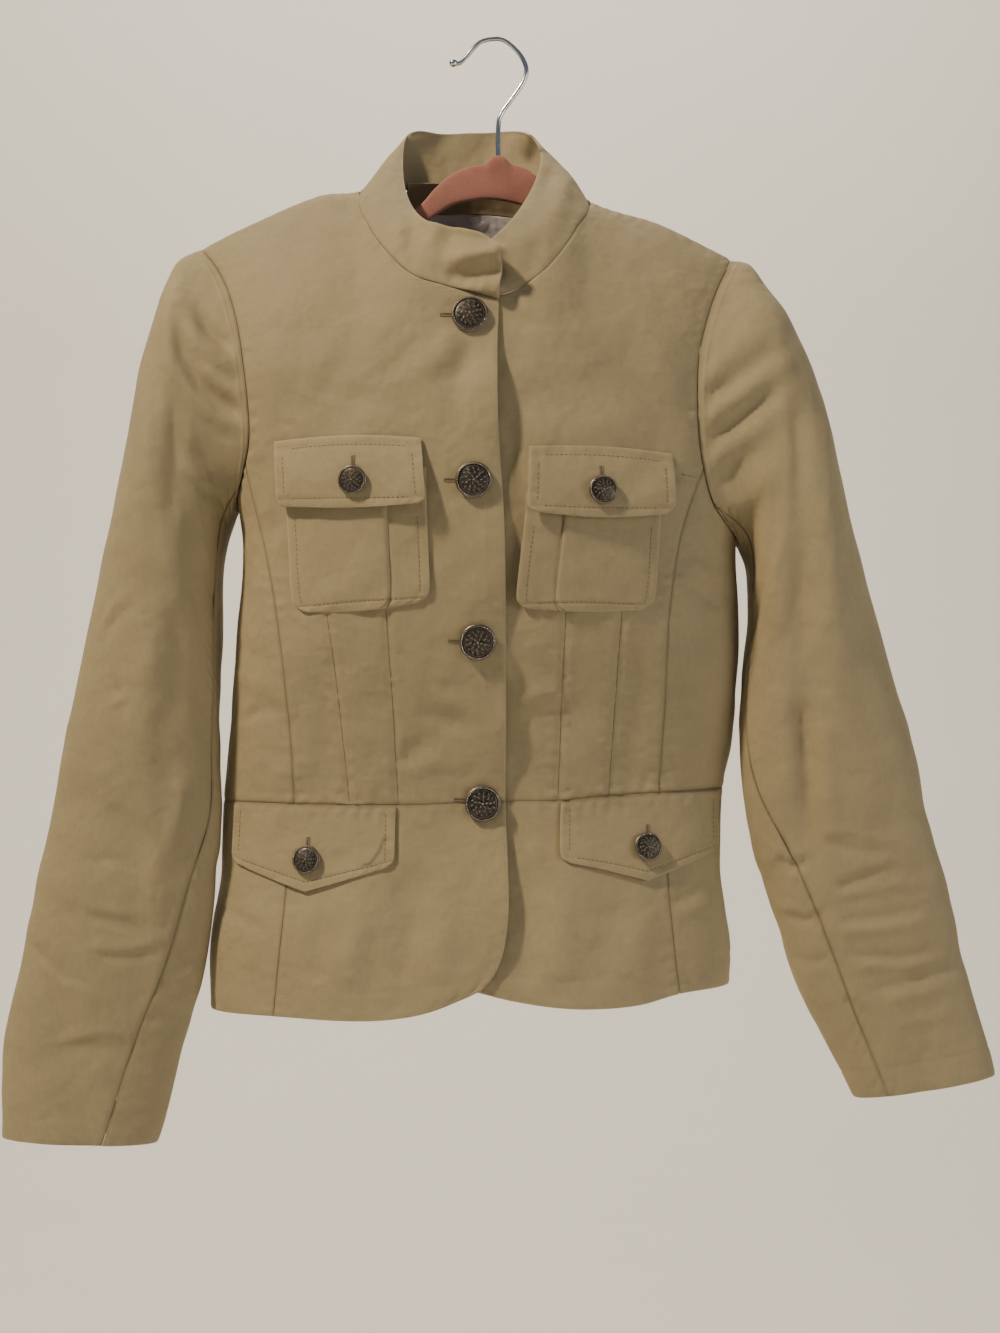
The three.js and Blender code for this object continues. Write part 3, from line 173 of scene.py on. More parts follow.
ARMHOLE = dict(
    right=table(
        "z x",
        (-145.6, -203),
        (-161, -191),
        (-181, -181),
        (-207, -173.3),
        (-241, -167.3),
        (-270, -163.6),
        (-286, -163.6),
        (-300, -167),
        (-313, -171.5),
        (-325, -177),
    ),
    left=table(
        "z x",
        (-153.3, 167.3),
        (-179, 154.9),
        (-205.5, 145.9),
        (-226.7, 140.9),
        (-257.5, 138.9),
        (-283.3, 139.5),
        (-304, 142.8),
        (-326.4, 149.6),
        (-338.7, 159),
        (-349, 170),
    ),
)
FRONT_SEAM = dict(
    right=table(
        "z x",
        (-673.4, -147.4),
        (-591, -139.5),
        (-530, -134.4),
        (-460.5, -139),
        (-406, -145),
        (-362, -152.8),
        (-329, -161),
        (-300, -167),
    ),
    left=table(
        "z x",
        (-658.5, 127.3),
        (-623.7, 123.4),
        (-579, 119.3),
        (-523, 114.6),
        (-460, 117),
        (-426, 117.8),
        (-394, 120.2),
        (-356, 125.6),
        (-330.6, 132.6),
        (-304, 142.8),
    ),
)
BACK_SEAM = table("z out", (-530, 118), (-460, 120), (-400, 126), (-340, 139), (-285, 157))
FRONT_EDGE = dict(
    right=table(
        "z x",
        (-654, -7.7),
        (-645.5, 0.3),
        (-633, 6.3),
        (-618, 9.6),
        (-598, 11.2),
        (-568, 10.6),
        (-528, 9.4),
        (-424, 9.6),
        (-337, 8.2),
        (-275, 4.2),
        (-229, 3.8),
        (-193, 5),
    ),
    left=table(
        "z x",
        (-655, -9.5),
        (-646, -17.5),
        (-633, -23),
        (-618, -26),
        (-528, -26.5),
        (-337, -27.5),
        (-229, -30),
        (-187, -26),
    ),
)
WAIST = table("x z", (-190, -530), (-60, -531), (0, -528.5), (45, -528), (80, -525), (165, -521))
HEM = dict(
    right=table(
        "x z",
        (-197, -674),
        (-147, -673.4),
        (-90, -674.5),
        (-64, -672.7),
        (-41, -667.9),
        (-18.4, -659),
        (-7.7, -654),
    ),
    left=table(
        "x z",
        (-9.5, -655),
        (14.9, -661),
        (45.6, -665.7),
        (69, -666.8),
        (100, -665),
        (128, -659),
        (166, -657),
    ),
)
SLEEVE = dict(
    right=table(
        "out_x out_z in_x in_z depth forward front back",
        (-203, -145.6, -177, -325, 46, 0, 150, 222),
        (-215.6, -151.9, -178.6, -331, 47, 0, 150, 222),
        (-224, -163, -181, -339, 50, 1, 151, 222),
        (-232.4, -184, -184, -351, 52, 2, 152, 223),
        (-245, -235, -187, -374, 54, 5, 156, 224),
        (-260, -312, -188, -411, 51, 10, 158, 226),
        (-275, -392, -188.5, -455, 43, 15, 160, 230),
        (-287.5, -456, -188.5, -494, 36, 19, 160, 234),
        (-299.5, -520, -187, -538, 32, 22, 154, 238),
        (-311.5, -584, -190, -588, 29, 24, 137, 242),
        (-323.5, -638, -197, -638, 26, 25, 128, 246),
        (-335, -697, -211, -694, 23, 26, 119, 250),
        (-336.5, -760.5, -229, -764, 21, 27, 110, 253),
    ),
    left=table(
        "out_x out_z in_x in_z depth forward front back",
        (167.3, -153.3, 170, -349, 46, 0, 142, 222),
        (179.5, -157, 172, -353, 47, 0, 144, 222),
        (191, -171, 174.5, -359, 50, 1, 148, 222),
        (207.5, -193.9, 177.5, -370, 52, 2, 152, 223),
        (224, -235.5, 178, -391, 54, 5, 156, 224),
        (238.5, -288, 178, -413, 51, 10, 158, 226),
        (254.4, -360.6, 174, -446, 43, 15, 160, 230),
        (274.5, -437.5, 171, -481, 36, 19, 160, 234),
        (290, -495, 172.5, -517, 32, 22, 152, 238),
        (303.5, -552, 180.5, -563, 29, 24, 132, 242),
        (317, -607, 194, -610, 26, 25, 122, 246),
        (328.5, -654.5, 209.5, -653.5, 23, 26, 120, 250),
        (339.5, -693.5, 231, -698.5, 21, 27, 122, 253),
        (346.5, -717, 249, -733, 21, 27, 125, 253),
    ),
)
SLEEVE_FOLDS = dict(
    right=(
        dict(down=120, angle=70, depth=-5, length=90, width=14, lean=22),
        dict(down=175, angle=45, depth=4, length=110, width=14, lean=4),
        dict(down=230, angle=115, depth=-4, length=70, width=14, lean=30),
        dict(down=330, angle=70, depth=-3, length=90, width=16, lean=-6),
        dict(down=440, angle=95, depth=-4, length=55, width=11, lean=72),
        dict(down=475, angle=60, depth=3, length=55, width=11, lean=80),
        dict(down=200, angle=-80, depth=-4, length=90, width=16, lean=-18),
        dict(down=400, angle=-100, depth=3, length=70, width=14, lean=60),
    ),
    left=(
        dict(down=110, angle=75, depth=-3.5, length=70, width=14, lean=-40),
        dict(down=145, angle=95, depth=3, length=70, width=14, lean=-36),
        dict(down=300, angle=70, depth=4, length=150, width=13, lean=3),
        dict(down=300, angle=100, depth=-4, length=130, width=13, lean=0),
        dict(down=430, angle=60, depth=-4, length=60, width=10, lean=78),
        dict(down=470, angle=95, depth=-4, length=65, width=10, lean=70),
        dict(down=520, angle=60, depth=-3, length=60, width=10, lean=76),
        dict(down=210, angle=-80, depth=-4, length=90, width=16, lean=20),
        dict(down=410, angle=-100, depth=3, length=70, width=14, lean=-64),
    ),
)
CHEST_POCKET = dict(
    right=table(
        "in_x in_z out_x out_z sag",
        (-43, -306, -138.5, -306, 0),
        (-42.5, -333, -137.4, -331, 0),
        (-41.5, -362, -135.7, -361, 0),
        (-40.8, -385, -134.2, -388, 0),
        (-43, -391, -131.8, -396, 1),
        (-49, -395.5, -125, -401, 2),
    ),
    left=table(
        "in_x in_z out_x out_z sag",
        (23, -312, 113, -312, 0),
        (22, -337, 112.4, -340, 0),
        (19, -364, 111, -365, 0),
        (16.4, -389, 109.2, -388.5, 0),
        (18, -395.5, 107, -394.5, 1),
        (24, -399.5, 100, -399.5, 1.5),
    ),
)
PLEAT_PLACE = 0.29
CHEST_FLAP = dict(
    right=table(
        "in_x in_z out_x out_z sag lift",
        (-46.6, -286.5, -145, -286.5, -2.5, 2.0),
        (-45.2, -299, -143.2, -299, -1, 4.6),
        (-43.8, -313, -141.5, -313, 1, 5.0),
        (-42.6, -326, -140, -326, 1, 5.2),
        (-47, -330, -136.5, -330, 2, 5.2),
    ),
    left=table(
        "in_x in_z out_x out_z sag lift",
        (24.8, -292, 120.3, -295, -2, 2.0),
        (24.2, -305, 119.8, -307, -0.5, 4.6),
        (23.7, -318, 119, -319, 1.5, 5.0),
        (23.4, -331, 118, -331, 2, 5.2),
        (28, -335.5, 113, -336.5, 3, 5.2),
    ),
)
WAIST_FLAP_ROWS = table(
    "drop point inset", (1, 0, 0), (14, 5, 0), (27, 10, 0), (37, 15.5, 0.5), (42, 17, 5)
)
FRONT_BUTTONS = ((-14.4, -204), (-11.6, -314.8), (-9, -420.9), (-5.9, -529.8))
CHEST_BUTTONS = dict(right=(-89.9, -314.3), left=(71.9, -321.5))
WAIST_BUTTONS = dict(right=(-124, -568.5), left=(104.6, -560))
HANGER_ARM = table(
    "x top deep",
    (-196, -147.8, 9),
    (-182, -138.8, 11.5),
    (-165, -132.2, 12),
    (-145, -130.5, 12),
    (-115, -131.5, 12.5),
    (-80, -126.5, 13),
    (-52.5, -116.5, 15),
    (-39.2, -102.2, 19.5),
    (-27.3, -92.4, 22),
    (-14, -87.5, 24),
    (-3, -86.5, 24),
    (11.8, -86.5, 26),
    (23, -88.5, 27),
    (34, -97, 23),
    (45, -108, 19),
    (56, -122, 16),
    (75, -134, 13),
    (100, -139.5, 12.5),
    (122, -139.5, 12),
    (140, -145.5, 12),
    (152, -151.2, 11),
    (162, -158, 9),
)
HOOK_PATH = table(
    "x z",
    (-27, -15),
    (-22.5, -15),
    (-17, -9.5),
    (-9, -1),
    (0, 1.7),
    (9, 0.5),
    (19, -8.5),
    (24, -19),
    (21.5, -29),
    (14, -40),
    (7, -50),
    (4.4, -60),
    (4.4, -92),
)

# Creases that the front view shows: how far they stand out (below 0 they sink in), half
# their width in mm, and the pixels of the photograph that they run through.
FRONT_CREASES = (
    (-1.6, 7, (470, 345), (455, 400), (462, 440)),
    (1.2, 7, (452, 330), (440, 380), (436, 430)),
    (-1.2, 10, (315, 330), (345, 300), (385, 300)),
    (1.0, 8, (300, 400), (318, 360), (340, 330)),
    (-1.0, 8, (345, 395), (400, 405), (440, 425)),
    (1.2, 9, (545, 330), (600, 345), (650, 330)),
    (-2.0, 14, (520, 385), (580, 395), (650, 400)),
    (1.2, 12, (560, 430), (620, 425), (665, 430)),
    (-1.2, 8, (330, 700), (325, 760), (330, 800)),
    (1.0, 8, (420, 640), (410, 700), (415, 760)),
    (-1.0, 9, (610, 690), (620, 740), (615, 800)),
    (1.2, 7, (665, 620), (655, 690), (650, 760)),
    (-1.0, 6, (262, 700), (285, 720), (300, 735)),
    (0.9, 6, (258, 760), (290, 772), (320, 775)),
    (-0.9, 6, (640, 780), (670, 770), (690, 772)),
    (2.2, 9, (350, 985), (356, 930), (362, 880)),
    (-2.6, 9, (402, 985), (408, 930), (414, 860)),
    (2.2, 9, (440, 985), (446, 920), (452, 850)),
    (-1.8, 8, (318, 985), (322, 940), (330, 900)),
    (2.4, 9, (566, 985), (562, 920), (556, 850)),
    (-2.4, 9, (532, 985), (530, 920), (526, 850)),
    (-2.0, 8, (602, 985), (606, 930), (600, 880)),
    (2.0, 8, (640, 985), (640, 930), (645, 885)),
    (-1.4, 3.5, (672, 905), (690, 892), (706, 880)),
    (1.2, 3.5, (674, 918), (694, 908), (712, 898)),
    (-1.2, 3, (222, 905), (240, 918), (262, 930)),
    (1.6, 5, (430, 690), (445, 700), (470, 702)),
    (-1.5, 5, (425, 712), (445, 722), (480, 724)),
    (-1.6, 4, (402, 760), (415, 745), (440, 735)),
    (1.5, 4, (404, 775), (424, 765), (455, 758)),
    (1.4, 4, (520, 700), (545, 690), (580, 688)),
    (-1.4, 4, (520, 720), (548, 712), (590, 706)),
    (-1.3, 3.5, (236, 640), (252, 655), (268, 662)),
    (1.2, 3.5, (232, 668), (250, 680), (270, 686)),
    (-1.3, 3.5, (240, 720), (256, 712), (276, 708)),
    (1.4, 4, (690, 560), (706, 572), (724, 580)),
    (-1.4, 4, (688, 585), (706, 598), (726, 604)),
    (-1.3, 3.5, (672, 700), (690, 712), (712, 716)),
    (-1.8, 6, (505, 420), (518, 450), (522, 500)),
    (-2.0, 8, (432, 385), (455, 370), (478, 345)),
    (2.0, 8, (415, 372), (440, 352), (462, 330)),
)
DARTS = dict(
    right=(
        ((-110.1, -402.7), (-103.3, -460.4), (-96.5, -528.5)),
        ((-70.2, -400.3), (-66.7, -460.3), (-63.2, -529.5)),
    ),
    left=(
        ((49.4, -401.7), (47.1, -460.2), (44.7, -526.6)),
        ((86.9, -400.2), (83.5, -460.3), (79.4, -523.8)),
        ((127.2, -308.5), (137.2, -310)),
    ),
)
COLLAR_CREASES = (
    (-3.4, 5, (497, 240), (460, 237), (418, 226)),
    (3.8, 4.5, (505, 250), (468, 256), (430, 276)),
    (-4.4, 5.5, (506, 268), (466, 276), (416, 262)),
    (2.4, 5, (504, 290), (478, 290), (452, 290)),
    (1.6, 4, (440, 205), (432, 235), (428, 262)),
    (-1.8, 4, (452, 214), (446, 240), (440, 262)),
    (1.6, 5, (400, 225), (398, 250), (404, 275)),
    (-1.4, 5, (410, 215), (412, 240), (418, 262)),
    (-2.2, 5, (552, 168), (546, 185), (535, 198)),
    (1.8, 6, (566, 175), (560, 205), (545, 240)),
    (-1.4, 6, (540, 240), (530, 262), (520, 280)),
)
SLEEVE_CREASES = dict(
    right=(
        (-1.6, 4, (170, 382), (175, 450), (173, 518)),
        (-1.6, 2.6, (196, 486), (214, 496), (238, 508)),
        (1.4, 2.6, (194, 476), (214, 486), (240, 497)),
        (-1.8, 5, (188, 520), (196, 570), (204, 640)),
        (-4.8, 5, (240, 350), (226, 343), (207, 328), (190, 300)),
        (4.2, 5, (243, 370), (218, 360), (197, 340), (182, 306)),
        (-1.8, 4, (243, 382), (222, 374), (202, 358), (190, 338)),
        (2.6, 4.5, (246, 397), (222, 384), (204, 366), (190, 345)),
        (-5.2, 5.5, (247, 415), (226, 404), (200, 384), (178, 348), (172, 316)),
        (3.8, 5.5, (240, 428), (214, 414), (190, 390), (168, 345), (165, 300)),
        (-2.6, 9, (172, 420), (176, 480), (173, 545)),
        (2.2, 7, (182, 460), (204, 472), (220, 482)),
        (-1.8, 6, (186, 452), (206, 462), (222, 470)),
        (1.6, 7, (208, 488), (222, 500), (228, 520)),
        (2.0, 8, (150, 420), (146, 480), (140, 540)),
        (1.6, 2.2, (97, 636), (112, 610), (136, 586)),
        (-1.4, 2.6, (104, 634), (118, 614), (141, 594)),
        (1.4, 2.2, (110, 704), (122, 698), (134, 690)),
        (-1.3, 2.4, (116, 684), (123, 697), (126, 714)),
        (-2.0, 8, (180, 600), (178, 680), (170, 760)),
        (2.4, 8, (150, 640), (146, 710), (136, 790)),
        (-2.2, 8, (112, 800), (132, 842), (142, 884)),
        (2.8, 6, (184, 780), (170, 846), (158, 880)),
        (-1.1, 2.4, (78, 859), (112, 859), (140, 866)),
        (-1.2, 3, (133, 862), (140, 874), (141, 888)),
        (1.0, 3.2, (84, 904), (118, 912), (158, 915)),
        (-1.2, 3.2, (84, 915), (118, 923), (154, 928)),
        (1.0, 3.2, (88, 947), (130, 948), (168, 940)),
        (-1.4, 3, (98, 957), (136, 956), (172, 949)),
        (-1.2, 3.4, (26, 941), (55, 972), (96, 992)),
        (1.1, 3.4, (38, 962), (66, 984), (104, 998)),
        (-1.0, 2.8, (174, 955), (194, 959), (210, 961)),
        (1.0, 3, (180, 978), (202, 970), (212, 960)),
        (-1.1, 3.4, (148, 1020), (168, 1013), (186, 1018)),
        (1.0, 3.4, (60, 1040), (100, 1030), (140, 1034)),
        (-1.0, 4, (52, 1052), (92, 1046), (132, 1052)),
        (-1.1, 4, (6, 1046), (26, 1066), (32, 1088)),
        (1.1, 6, (96, 1060), (104, 1088), (106, 1120)),
    ),
    left=(
        (2.2, 7, (700, 380), (730, 355), (768, 322)),
        (-4.2, 6, (701, 400), (740, 374), (790, 336)),
        (3.8, 6, (703, 420), (750, 390), (802, 350)),
        (-4.0, 6, (705, 444), (748, 412), (796, 372)),
        (2.4, 6, (708, 464), (746, 436), (790, 400)),
        (-2.0, 6, (714, 484), (744, 462), (776, 436)),
        (2.0, 6, (722, 515), (762, 488), (792, 450)),
        (-2.4, 5, (726, 508), (740, 532), (746, 560)),
        (-4.5, 9, (798, 395), (802, 500), (804, 640), (807, 740)),
        (2.6, 10, (764, 450), (768, 560), (776, 700)),
        (3.4, 9, (822, 410), (828, 520), (836, 680)),
        (-2.4, 8, (800, 700), (806, 770), (806, 865)),
        (2.4, 8, (822, 720), (826, 790), (824, 850)),
        (1.2, 3.2, (828, 829), (872, 836), (914, 844)),
        (-1.5, 3.2, (824, 842), (868, 853), (912, 848)),
        (-1.9, 3.4, (836, 888), (872, 874), (918, 860)),
        (1.5, 3.2, (838, 898), (882, 887), (934, 878)),
        (-1.6, 3.2, (836, 920), (880, 917), (938, 906)),
        (1.4, 3.4, (838, 931), (888, 928), (946, 915)),
        (-1.5, 3, (852, 955), (900, 957), (952, 945)),
        (1.4, 3.2, (858, 966), (904, 966), (956, 953)),
        (-1.6, 3.4, (872, 990), (918, 980), (964, 964)),
        (1.2, 3.4, (886, 1001), (928, 991), (966, 979)),
        (-1.5, 3, (779, 861), (795, 867), (813, 854)),
        (1.2, 3, (776, 850), (794, 856), (811, 844)),
        (-1.5, 3, (786, 915), (806, 920), (833, 911)),
        (1.2, 3, (784, 906), (806, 911), (830, 902)),
        (-1.4, 3, (791, 957), (810, 962), (832, 956)),
        (-1.2, 3.4, (843, 998), (862, 1011), (878, 1022)),
        (1.1, 4, (900, 1024), (930, 1020), (962, 1008)),
        (-3.0, 5, (800, 700), (806, 780), (812, 880)),
        (2.2, 7, (784, 700), (790, 790), (798, 840)),
    ),
)
# Creases at the back and on the hidden sides of the sleeves, in mm seen from the front.
BACK_CREASES = (
    (-4.5, 10, (-150, -250), (-120, -235), (-70, -240)),
    (3.8, 9, (-150, -285), (-110, -265), (-60, -268)),
    (4.2, 10, (125, -262), (90, -245), (40, -252)),
    (-3.8, 9, (125, -300), (90, -280), (50, -282)),
    (3.4, 10, (-60, -180), (-20, -190), (30, -184)),
    (-3.8, 7, (-100, -500), (-50, -492), (0, -498)),
    (3.4, 7, (-90, -478), (-40, -470), (10, -476)),
    (-3.4, 7, (20, -505), (60, -496), (95, -500)),
    (2.9, 8, (-70, -350), (-64, -410), (-66, -460)),
    (-2.9, 8, (50, -340), (46, -400), (48, -450)),
)
SLEEVE_BACK_CREASES = dict(
    right=(
        (-3.2, 8, (-190, -235), (-215, -255), (-240, -262)),
        (2.6, 8, (-190, -260), (-215, -282), (-246, -290)),
        (-2.4, 8, (-250, -460), (-225, -478), (-196, -484)),
        (-2.2, 8, (-296, -520), (-265, -530), (-230, -528)),
        (2.0, 8, (-300, -545), (-262, -556), (-225, -552)),
        (-2.2, 8, (-305, -580), (-270, -584), (-235, -590)),
        (1.8, 9, (-270, -640), (-278, -690), (-285, -730)),
    ),
    left=(
        (-3.0, 8, (170, -250), (195, -262), (218, -262)),
        (2.4, 8, (172, -276), (200, -290), (226, -290)),
        (-2.4, 8, (240, -450), (215, -466), (185, -470)),
        (-2.2, 8, (290, -510), (255, -516), (215, -512)),
        (2.0, 8, (296, -536), (258, -542), (215, -540)),
        (-2.2, 8, (302, -566), (262, -572), (225, -570)),
        (1.8, 9, (265, -610), (280, -660), (292, -700)),
    ),
)


# Curves


def hermite(a, b, slope_a, slope_b, t):
    t2, t3 = t * t, t * t * t
    ends = a * (2 * t3 - 3 * t2 + 1) + b * (3 * t2 - 2 * t3)
    return ends + slope_a * (t3 - 2 * t2 + t) + slope_b * (t3 - t2)


def look_up(rows, key, column, value):
    """The smooth value of a column where the key column has the given value."""
    keys, values = rows[key], rows[column]
    if keys[-1] < keys[0]:
        keys, values = keys[::-1], values[::-1]
    last = len(keys) - 1
    low = np.maximum(np.arange(last + 1) - 1, 0)
    high = np.minimum(np.arange(last + 1) + 1, last)
    slope = (values[high] - values[low]) / (keys[high] - keys[low])
    value = np.clip(value, keys[0], keys[-1])
    i = np.clip(np.searchsorted(keys, value, side="right") - 1, 0, last - 1)
    span = keys[i + 1] - keys[i]
    t = (value - keys[i]) / span
    return hermite(values[i], values[i + 1], slope[i] * span, slope[i + 1] * span, t)


def along_rows(rows, column, place):
    """The smooth value of a column at a place counted in rows, such as 2.5."""
    values = rows[column]
    counted = {"row": np.arange(len(values), dtype=float), "value": values}
    return look_up(counted, "row", "value", place)


def smooth_step(low, high, value):
    t = np.clip((value - low) / (high - low), 0, 1)
    return t * t * (3 - 2 * t)


def mix(a, b, t):
    return a + (b - a) * t


def soft_fold(fold, across, along):
    lean = math.radians(fold["lean"])
    u = along * math.cos(lean) + across * math.sin(lean)
    v = across * math.cos(lean) - along * math.sin(lean)
    return fold["depth"] * np.exp(-((u / fold["length"]) ** 2) - (v / fold["width"]) ** 2)


def near_line(line, u, v):
    """How far each place is from a line of points, and how far along it that is."""
    nearest, along, gone = np.full(u.shape, 1e9), np.zeros(u.shape), 0.0
    for (u0, v0), (u1, v1) in zip(line, line[1:]):
        du, dv = u1 - u0, v1 - v0
        length = math.hypot(du, dv)
        t = np.clip(((u - u0) * du + (v - v0) * dv) / length**2, 0, 1)
        away = np.hypot(u - u0 - t * du, v - v0 - t * dv)
        along = np.where(away < nearest, gone + t * length, along)
        nearest = np.minimum(nearest, away)
        gone += length
    return nearest, along / gone


def creases(rows, u, v, unit=1.0):
    """Soft ridges and troughs along lines, each fading out towards its last point."""
    total = np.zeros(u.shape)
    for depth, width, *line in rows:
        away, along = near_line(line, u, v)
        fading = smooth_step(-0.06, 0.12, along) * (1 - 0.85 * smooth_step(0.55, 1.0, along))
        spread = width * (1 + 0.5 * along)
        total += depth * fading * np.exp(-((away * unit / spread) ** 2))
    return total


def in_photo(points):
    """The pixel of the photograph at which each point shows."""
    scale = PIXEL * (CAMERA_DISTANCE + points[..., 1]) / CAMERA_DISTANCE
    across = IMAGE_MIDDLE[0] + (points[..., 0] - CAMERA_X) / scale
    down = IMAGE_MIDDLE[1] - (points[..., 2] - CAMERA_Z) / scale
    return across, down


def slack(a, b):
    """The slight unevenness of hanging cloth, in mm, from two lengths along it."""
    return (
        0.30 * np.sin(a / 13.0 + 1.3 * np.sin(b / 31.0))
        + 0.26 * np.sin(b / 17.0 + 1.1 * np.sin(a / 23.0) + 0.6)
        + 0.14 * np.sin((a + b) / 7.9 + 1.7 * np.sin(b / 19.0))
        + 0.30 * np.abs(np.sin(a / 19.0 + b / 61.0 + 1.5 * np.sin(b / 37.0)))
        - 0.22 * np.abs(np.sin(b / 27.0 - a / 33.0 + 1.2 * np.sin(a / 21.0)))
    )


# Body surface. A place on it is an angle round the section (0 at the front's middle, a
# quarter turn at +X, half a turn at the back) and a height.


def vectors(x, y, z):
    return np.stack(np.broadcast_arrays(x, y, z), axis=-1).astype(float)


def unit(v):
    return v / np.maximum(np.linalg.norm(v, axis=-1, keepdims=True), 1e-9)


def body_x(angle, z):
    return look_up(BODY, "z", "centre", z) + look_up(BODY, "z", "half", z) * np.sin(angle)


def body_surface(angle, z):
    x = body_x(angle, z)
    below = np.maximum(look_up(SHOULDER, "x", "z", x) - z, 0)
    roll = np.sin(math.pi / 2 * np.minimum(1, below / SHOULDER_ROLL)) ** SHOULDER_SHAPE
    across = np.cos(angle)
    front, back = look_up(BODY, "z", "front", z), look_up(BODY, "z", "back", z)
    reach = np.where(across > 0, -front, back)
    return vectors(x, reach * np.abs(across) ** SECTION_SHAPE * roll, z)


def body_normal(angle, z):
    x = body_x(angle, z)
    below = look_up(SHOULDER, "x", "z", x) - z
    step, turn = 4, 0.02
    rise = look_up(SHOULDER, "x", "z", x + step) - look_up(SHOULDER, "x", "z", x - step)
    ridge = unit(vectors(-rise / (2 * step), 0 * x, 1 + 0 * x))
    drop = np.clip(below / 2, 0.5, 3)
    around = body_surface(angle + turn, z) - body_surface(angle - turn, z)
    down = body_surface(angle, z - drop) - body_surface(angle, z + drop)
    normal = unit(np.cross(down, around))
    outward = np.sin(angle) * normal[..., 0] - np.cos(angle) * normal[..., 1]
    normal = normal * np.where(outward < 0, -1, 1)[..., None]
    return np.where((below < 2.5)[..., None], ridge, normal)


def body_fold(angle, z):
    x = body_x(angle, z)
    front = sum(soft_fold(fold, x - fold["x"], z - fold["z"]) for fold in BODY_FOLDS)
    behind = 2.2 * np.sin(5 * angle + 0.8) * smooth_step(-530, -670, z) * -np.cos(angle)
    return np.where(np.cos(angle) < 0.05, behind, front)


def body_point(angle, z, lift=0.0):
    normal = body_normal(angle, z)
    out = lift + body_fold(angle, z)
    return body_surface(angle, z) + normal * np.asarray(out)[..., None], normal


def angle_at(face, x, z):
    share = (x - look_up(BODY, "z", "centre", z)) / look_up(BODY, "z", "half", z)
    angle = np.arcsin(np.clip(share, -1, 1))
    return math.pi - angle if face == "back" else angle


def armhole_x(side, face, z):
    rows = ARMHOLE[side]
    x = look_up(rows, "z", "x", z)
    if face == "front":
        return x
    along = np.clip((z - rows["z"][0]) / (rows["z"][-1] - rows["z"][0]), 0, 1)
    return x + np.sign(x) * BACK_ARMHOLE_BOW * np.sin(math.pi * along)


def under_lift(angle, z):
    """The underlapping front lies behind the overlapping one."""
    return -UNDER_DROP * (1 - smooth_step(14, 34, body_x(angle, z)))


# Edges of the panels: each gives the angle and the height at a share of its length.

AROUND_GAP = VISIBLE_GAP / 2 / TYPICAL_HALF_WIDTH


def joint_edge(*stretches):
    def edge(t):
        t = np.asarray(t, float)
        angle, height = stretches[-1][1](np.ones_like(t))
        begin = sum(share for share, _ in stretches)
        for share, stretch in reversed(stretches):
            begin -= share
            here = t <= begin + share + 1e-9
            a, z = stretch(np.clip((t - begin) / share, 0, 1))
            angle, height = np.where(here, a, angle), np.where(here, z, height)
        return angle, height

    return edge


def seam_edge(side, from_z, to_z, inward):
    def edge(t):
        z = mix(from_z, to_z, t)
        x = look_up(FRONT_SEAM[side], "z", "x", z)
        return angle_at("front", x, z) + inward * AROUND_GAP, z

    return edge


def back_seam_x(side, z):
    sign = 1 if side == "left" else -1
    plain = look_up(BODY, "z", "centre", z) + sign * look_up(BACK_SEAM, "z", "out", z)
    top = armhole_x(side, "back", np.float64(BACK_SEAM_TOP))
    return mix(plain, top, smooth_step(-340, BACK_SEAM_TOP, z))


def back_seam_edge(side, inward):
    foot = look_up(WAIST, "x", "z", back_seam_x(side, np.float64(WAIST_LEVEL)))

    def edge(t):
        z = mix(foot + VISIBLE_GAP / 2, BACK_SEAM_TOP, t)
        return angle_at("back", back_seam_x(side, z), z) + inward * AROUND_GAP, z

    return edge


def armhole_edge(side, face, from_z, to_z):
    def edge(t):
        z = mix(from_z, to_z, t)
        return angle_at(face, armhole_x(side, face, z), z), z

    return edge


def neck_edge(face, start, end):
    def edge(t):
        place = mix(start, end, t)
        trim = BACK_NECK_TRIM if face == "back" else 0
        z = along_rows(COLLAR, "z", place) - trim
        return angle_at(face, along_rows(COLLAR, "x", place), z), z

    return edge


def shoulder_edge(face, from_x, to_x):
    def edge(t):
        x = mix(from_x, to_x, t)
        z = look_up(SHOULDER, "x", "z", x)
        return angle_at(face, x, z), z

    return edge


def front_edge(side, from_z, to_z):
    def edge(t):
        z = mix(from_z, to_z, t)
        return angle_at("front", look_up(FRONT_EDGE[side], "z", "x", z), z), z

    return edge


def waist_edge(from_angle, to_angle, above):
    def edge(s):
        angle = mix(from_angle, to_angle, s)
        x = body_x(angle, np.full(np.shape(angle), float(WAIST_LEVEL)))
        return angle, look_up(WAIST, "x", "z", x) + above

    return edge


def corner_safe(edge, start, end):
    """An edge that takes its two corners from the edges that it meets."""

    def closed(s):
        s = np.asarray(s, float)
        angle, z = edge(s)
        for at_corner, corner in ((s <= 0, start), (s >= 1, end)):
            angle = np.where(at_corner, corner[0], angle)
            z = np.where(at_corner, corner[1], z)
        return angle, z

    return closed


# Grids of places


def spaced(length, step, low=True, high=True):
    """Shares of a length, a step apart, and closer together near the edges named."""
    fine = np.cumsum([0.7, 0.8, 1.0, 1.2, 1.5, 1.8, 2.2])
    before = fine if low else np.array([step])
    after = length - (fine[::-1] if high else np.array([step]))
    count = max(2, round((after[0] - before[-1]) / step))
    middle = np.linspace(before[-1], after[0], count + 1)[1:-1]
    return np.concatenate([[0], before, middle, after, [length]]) / length


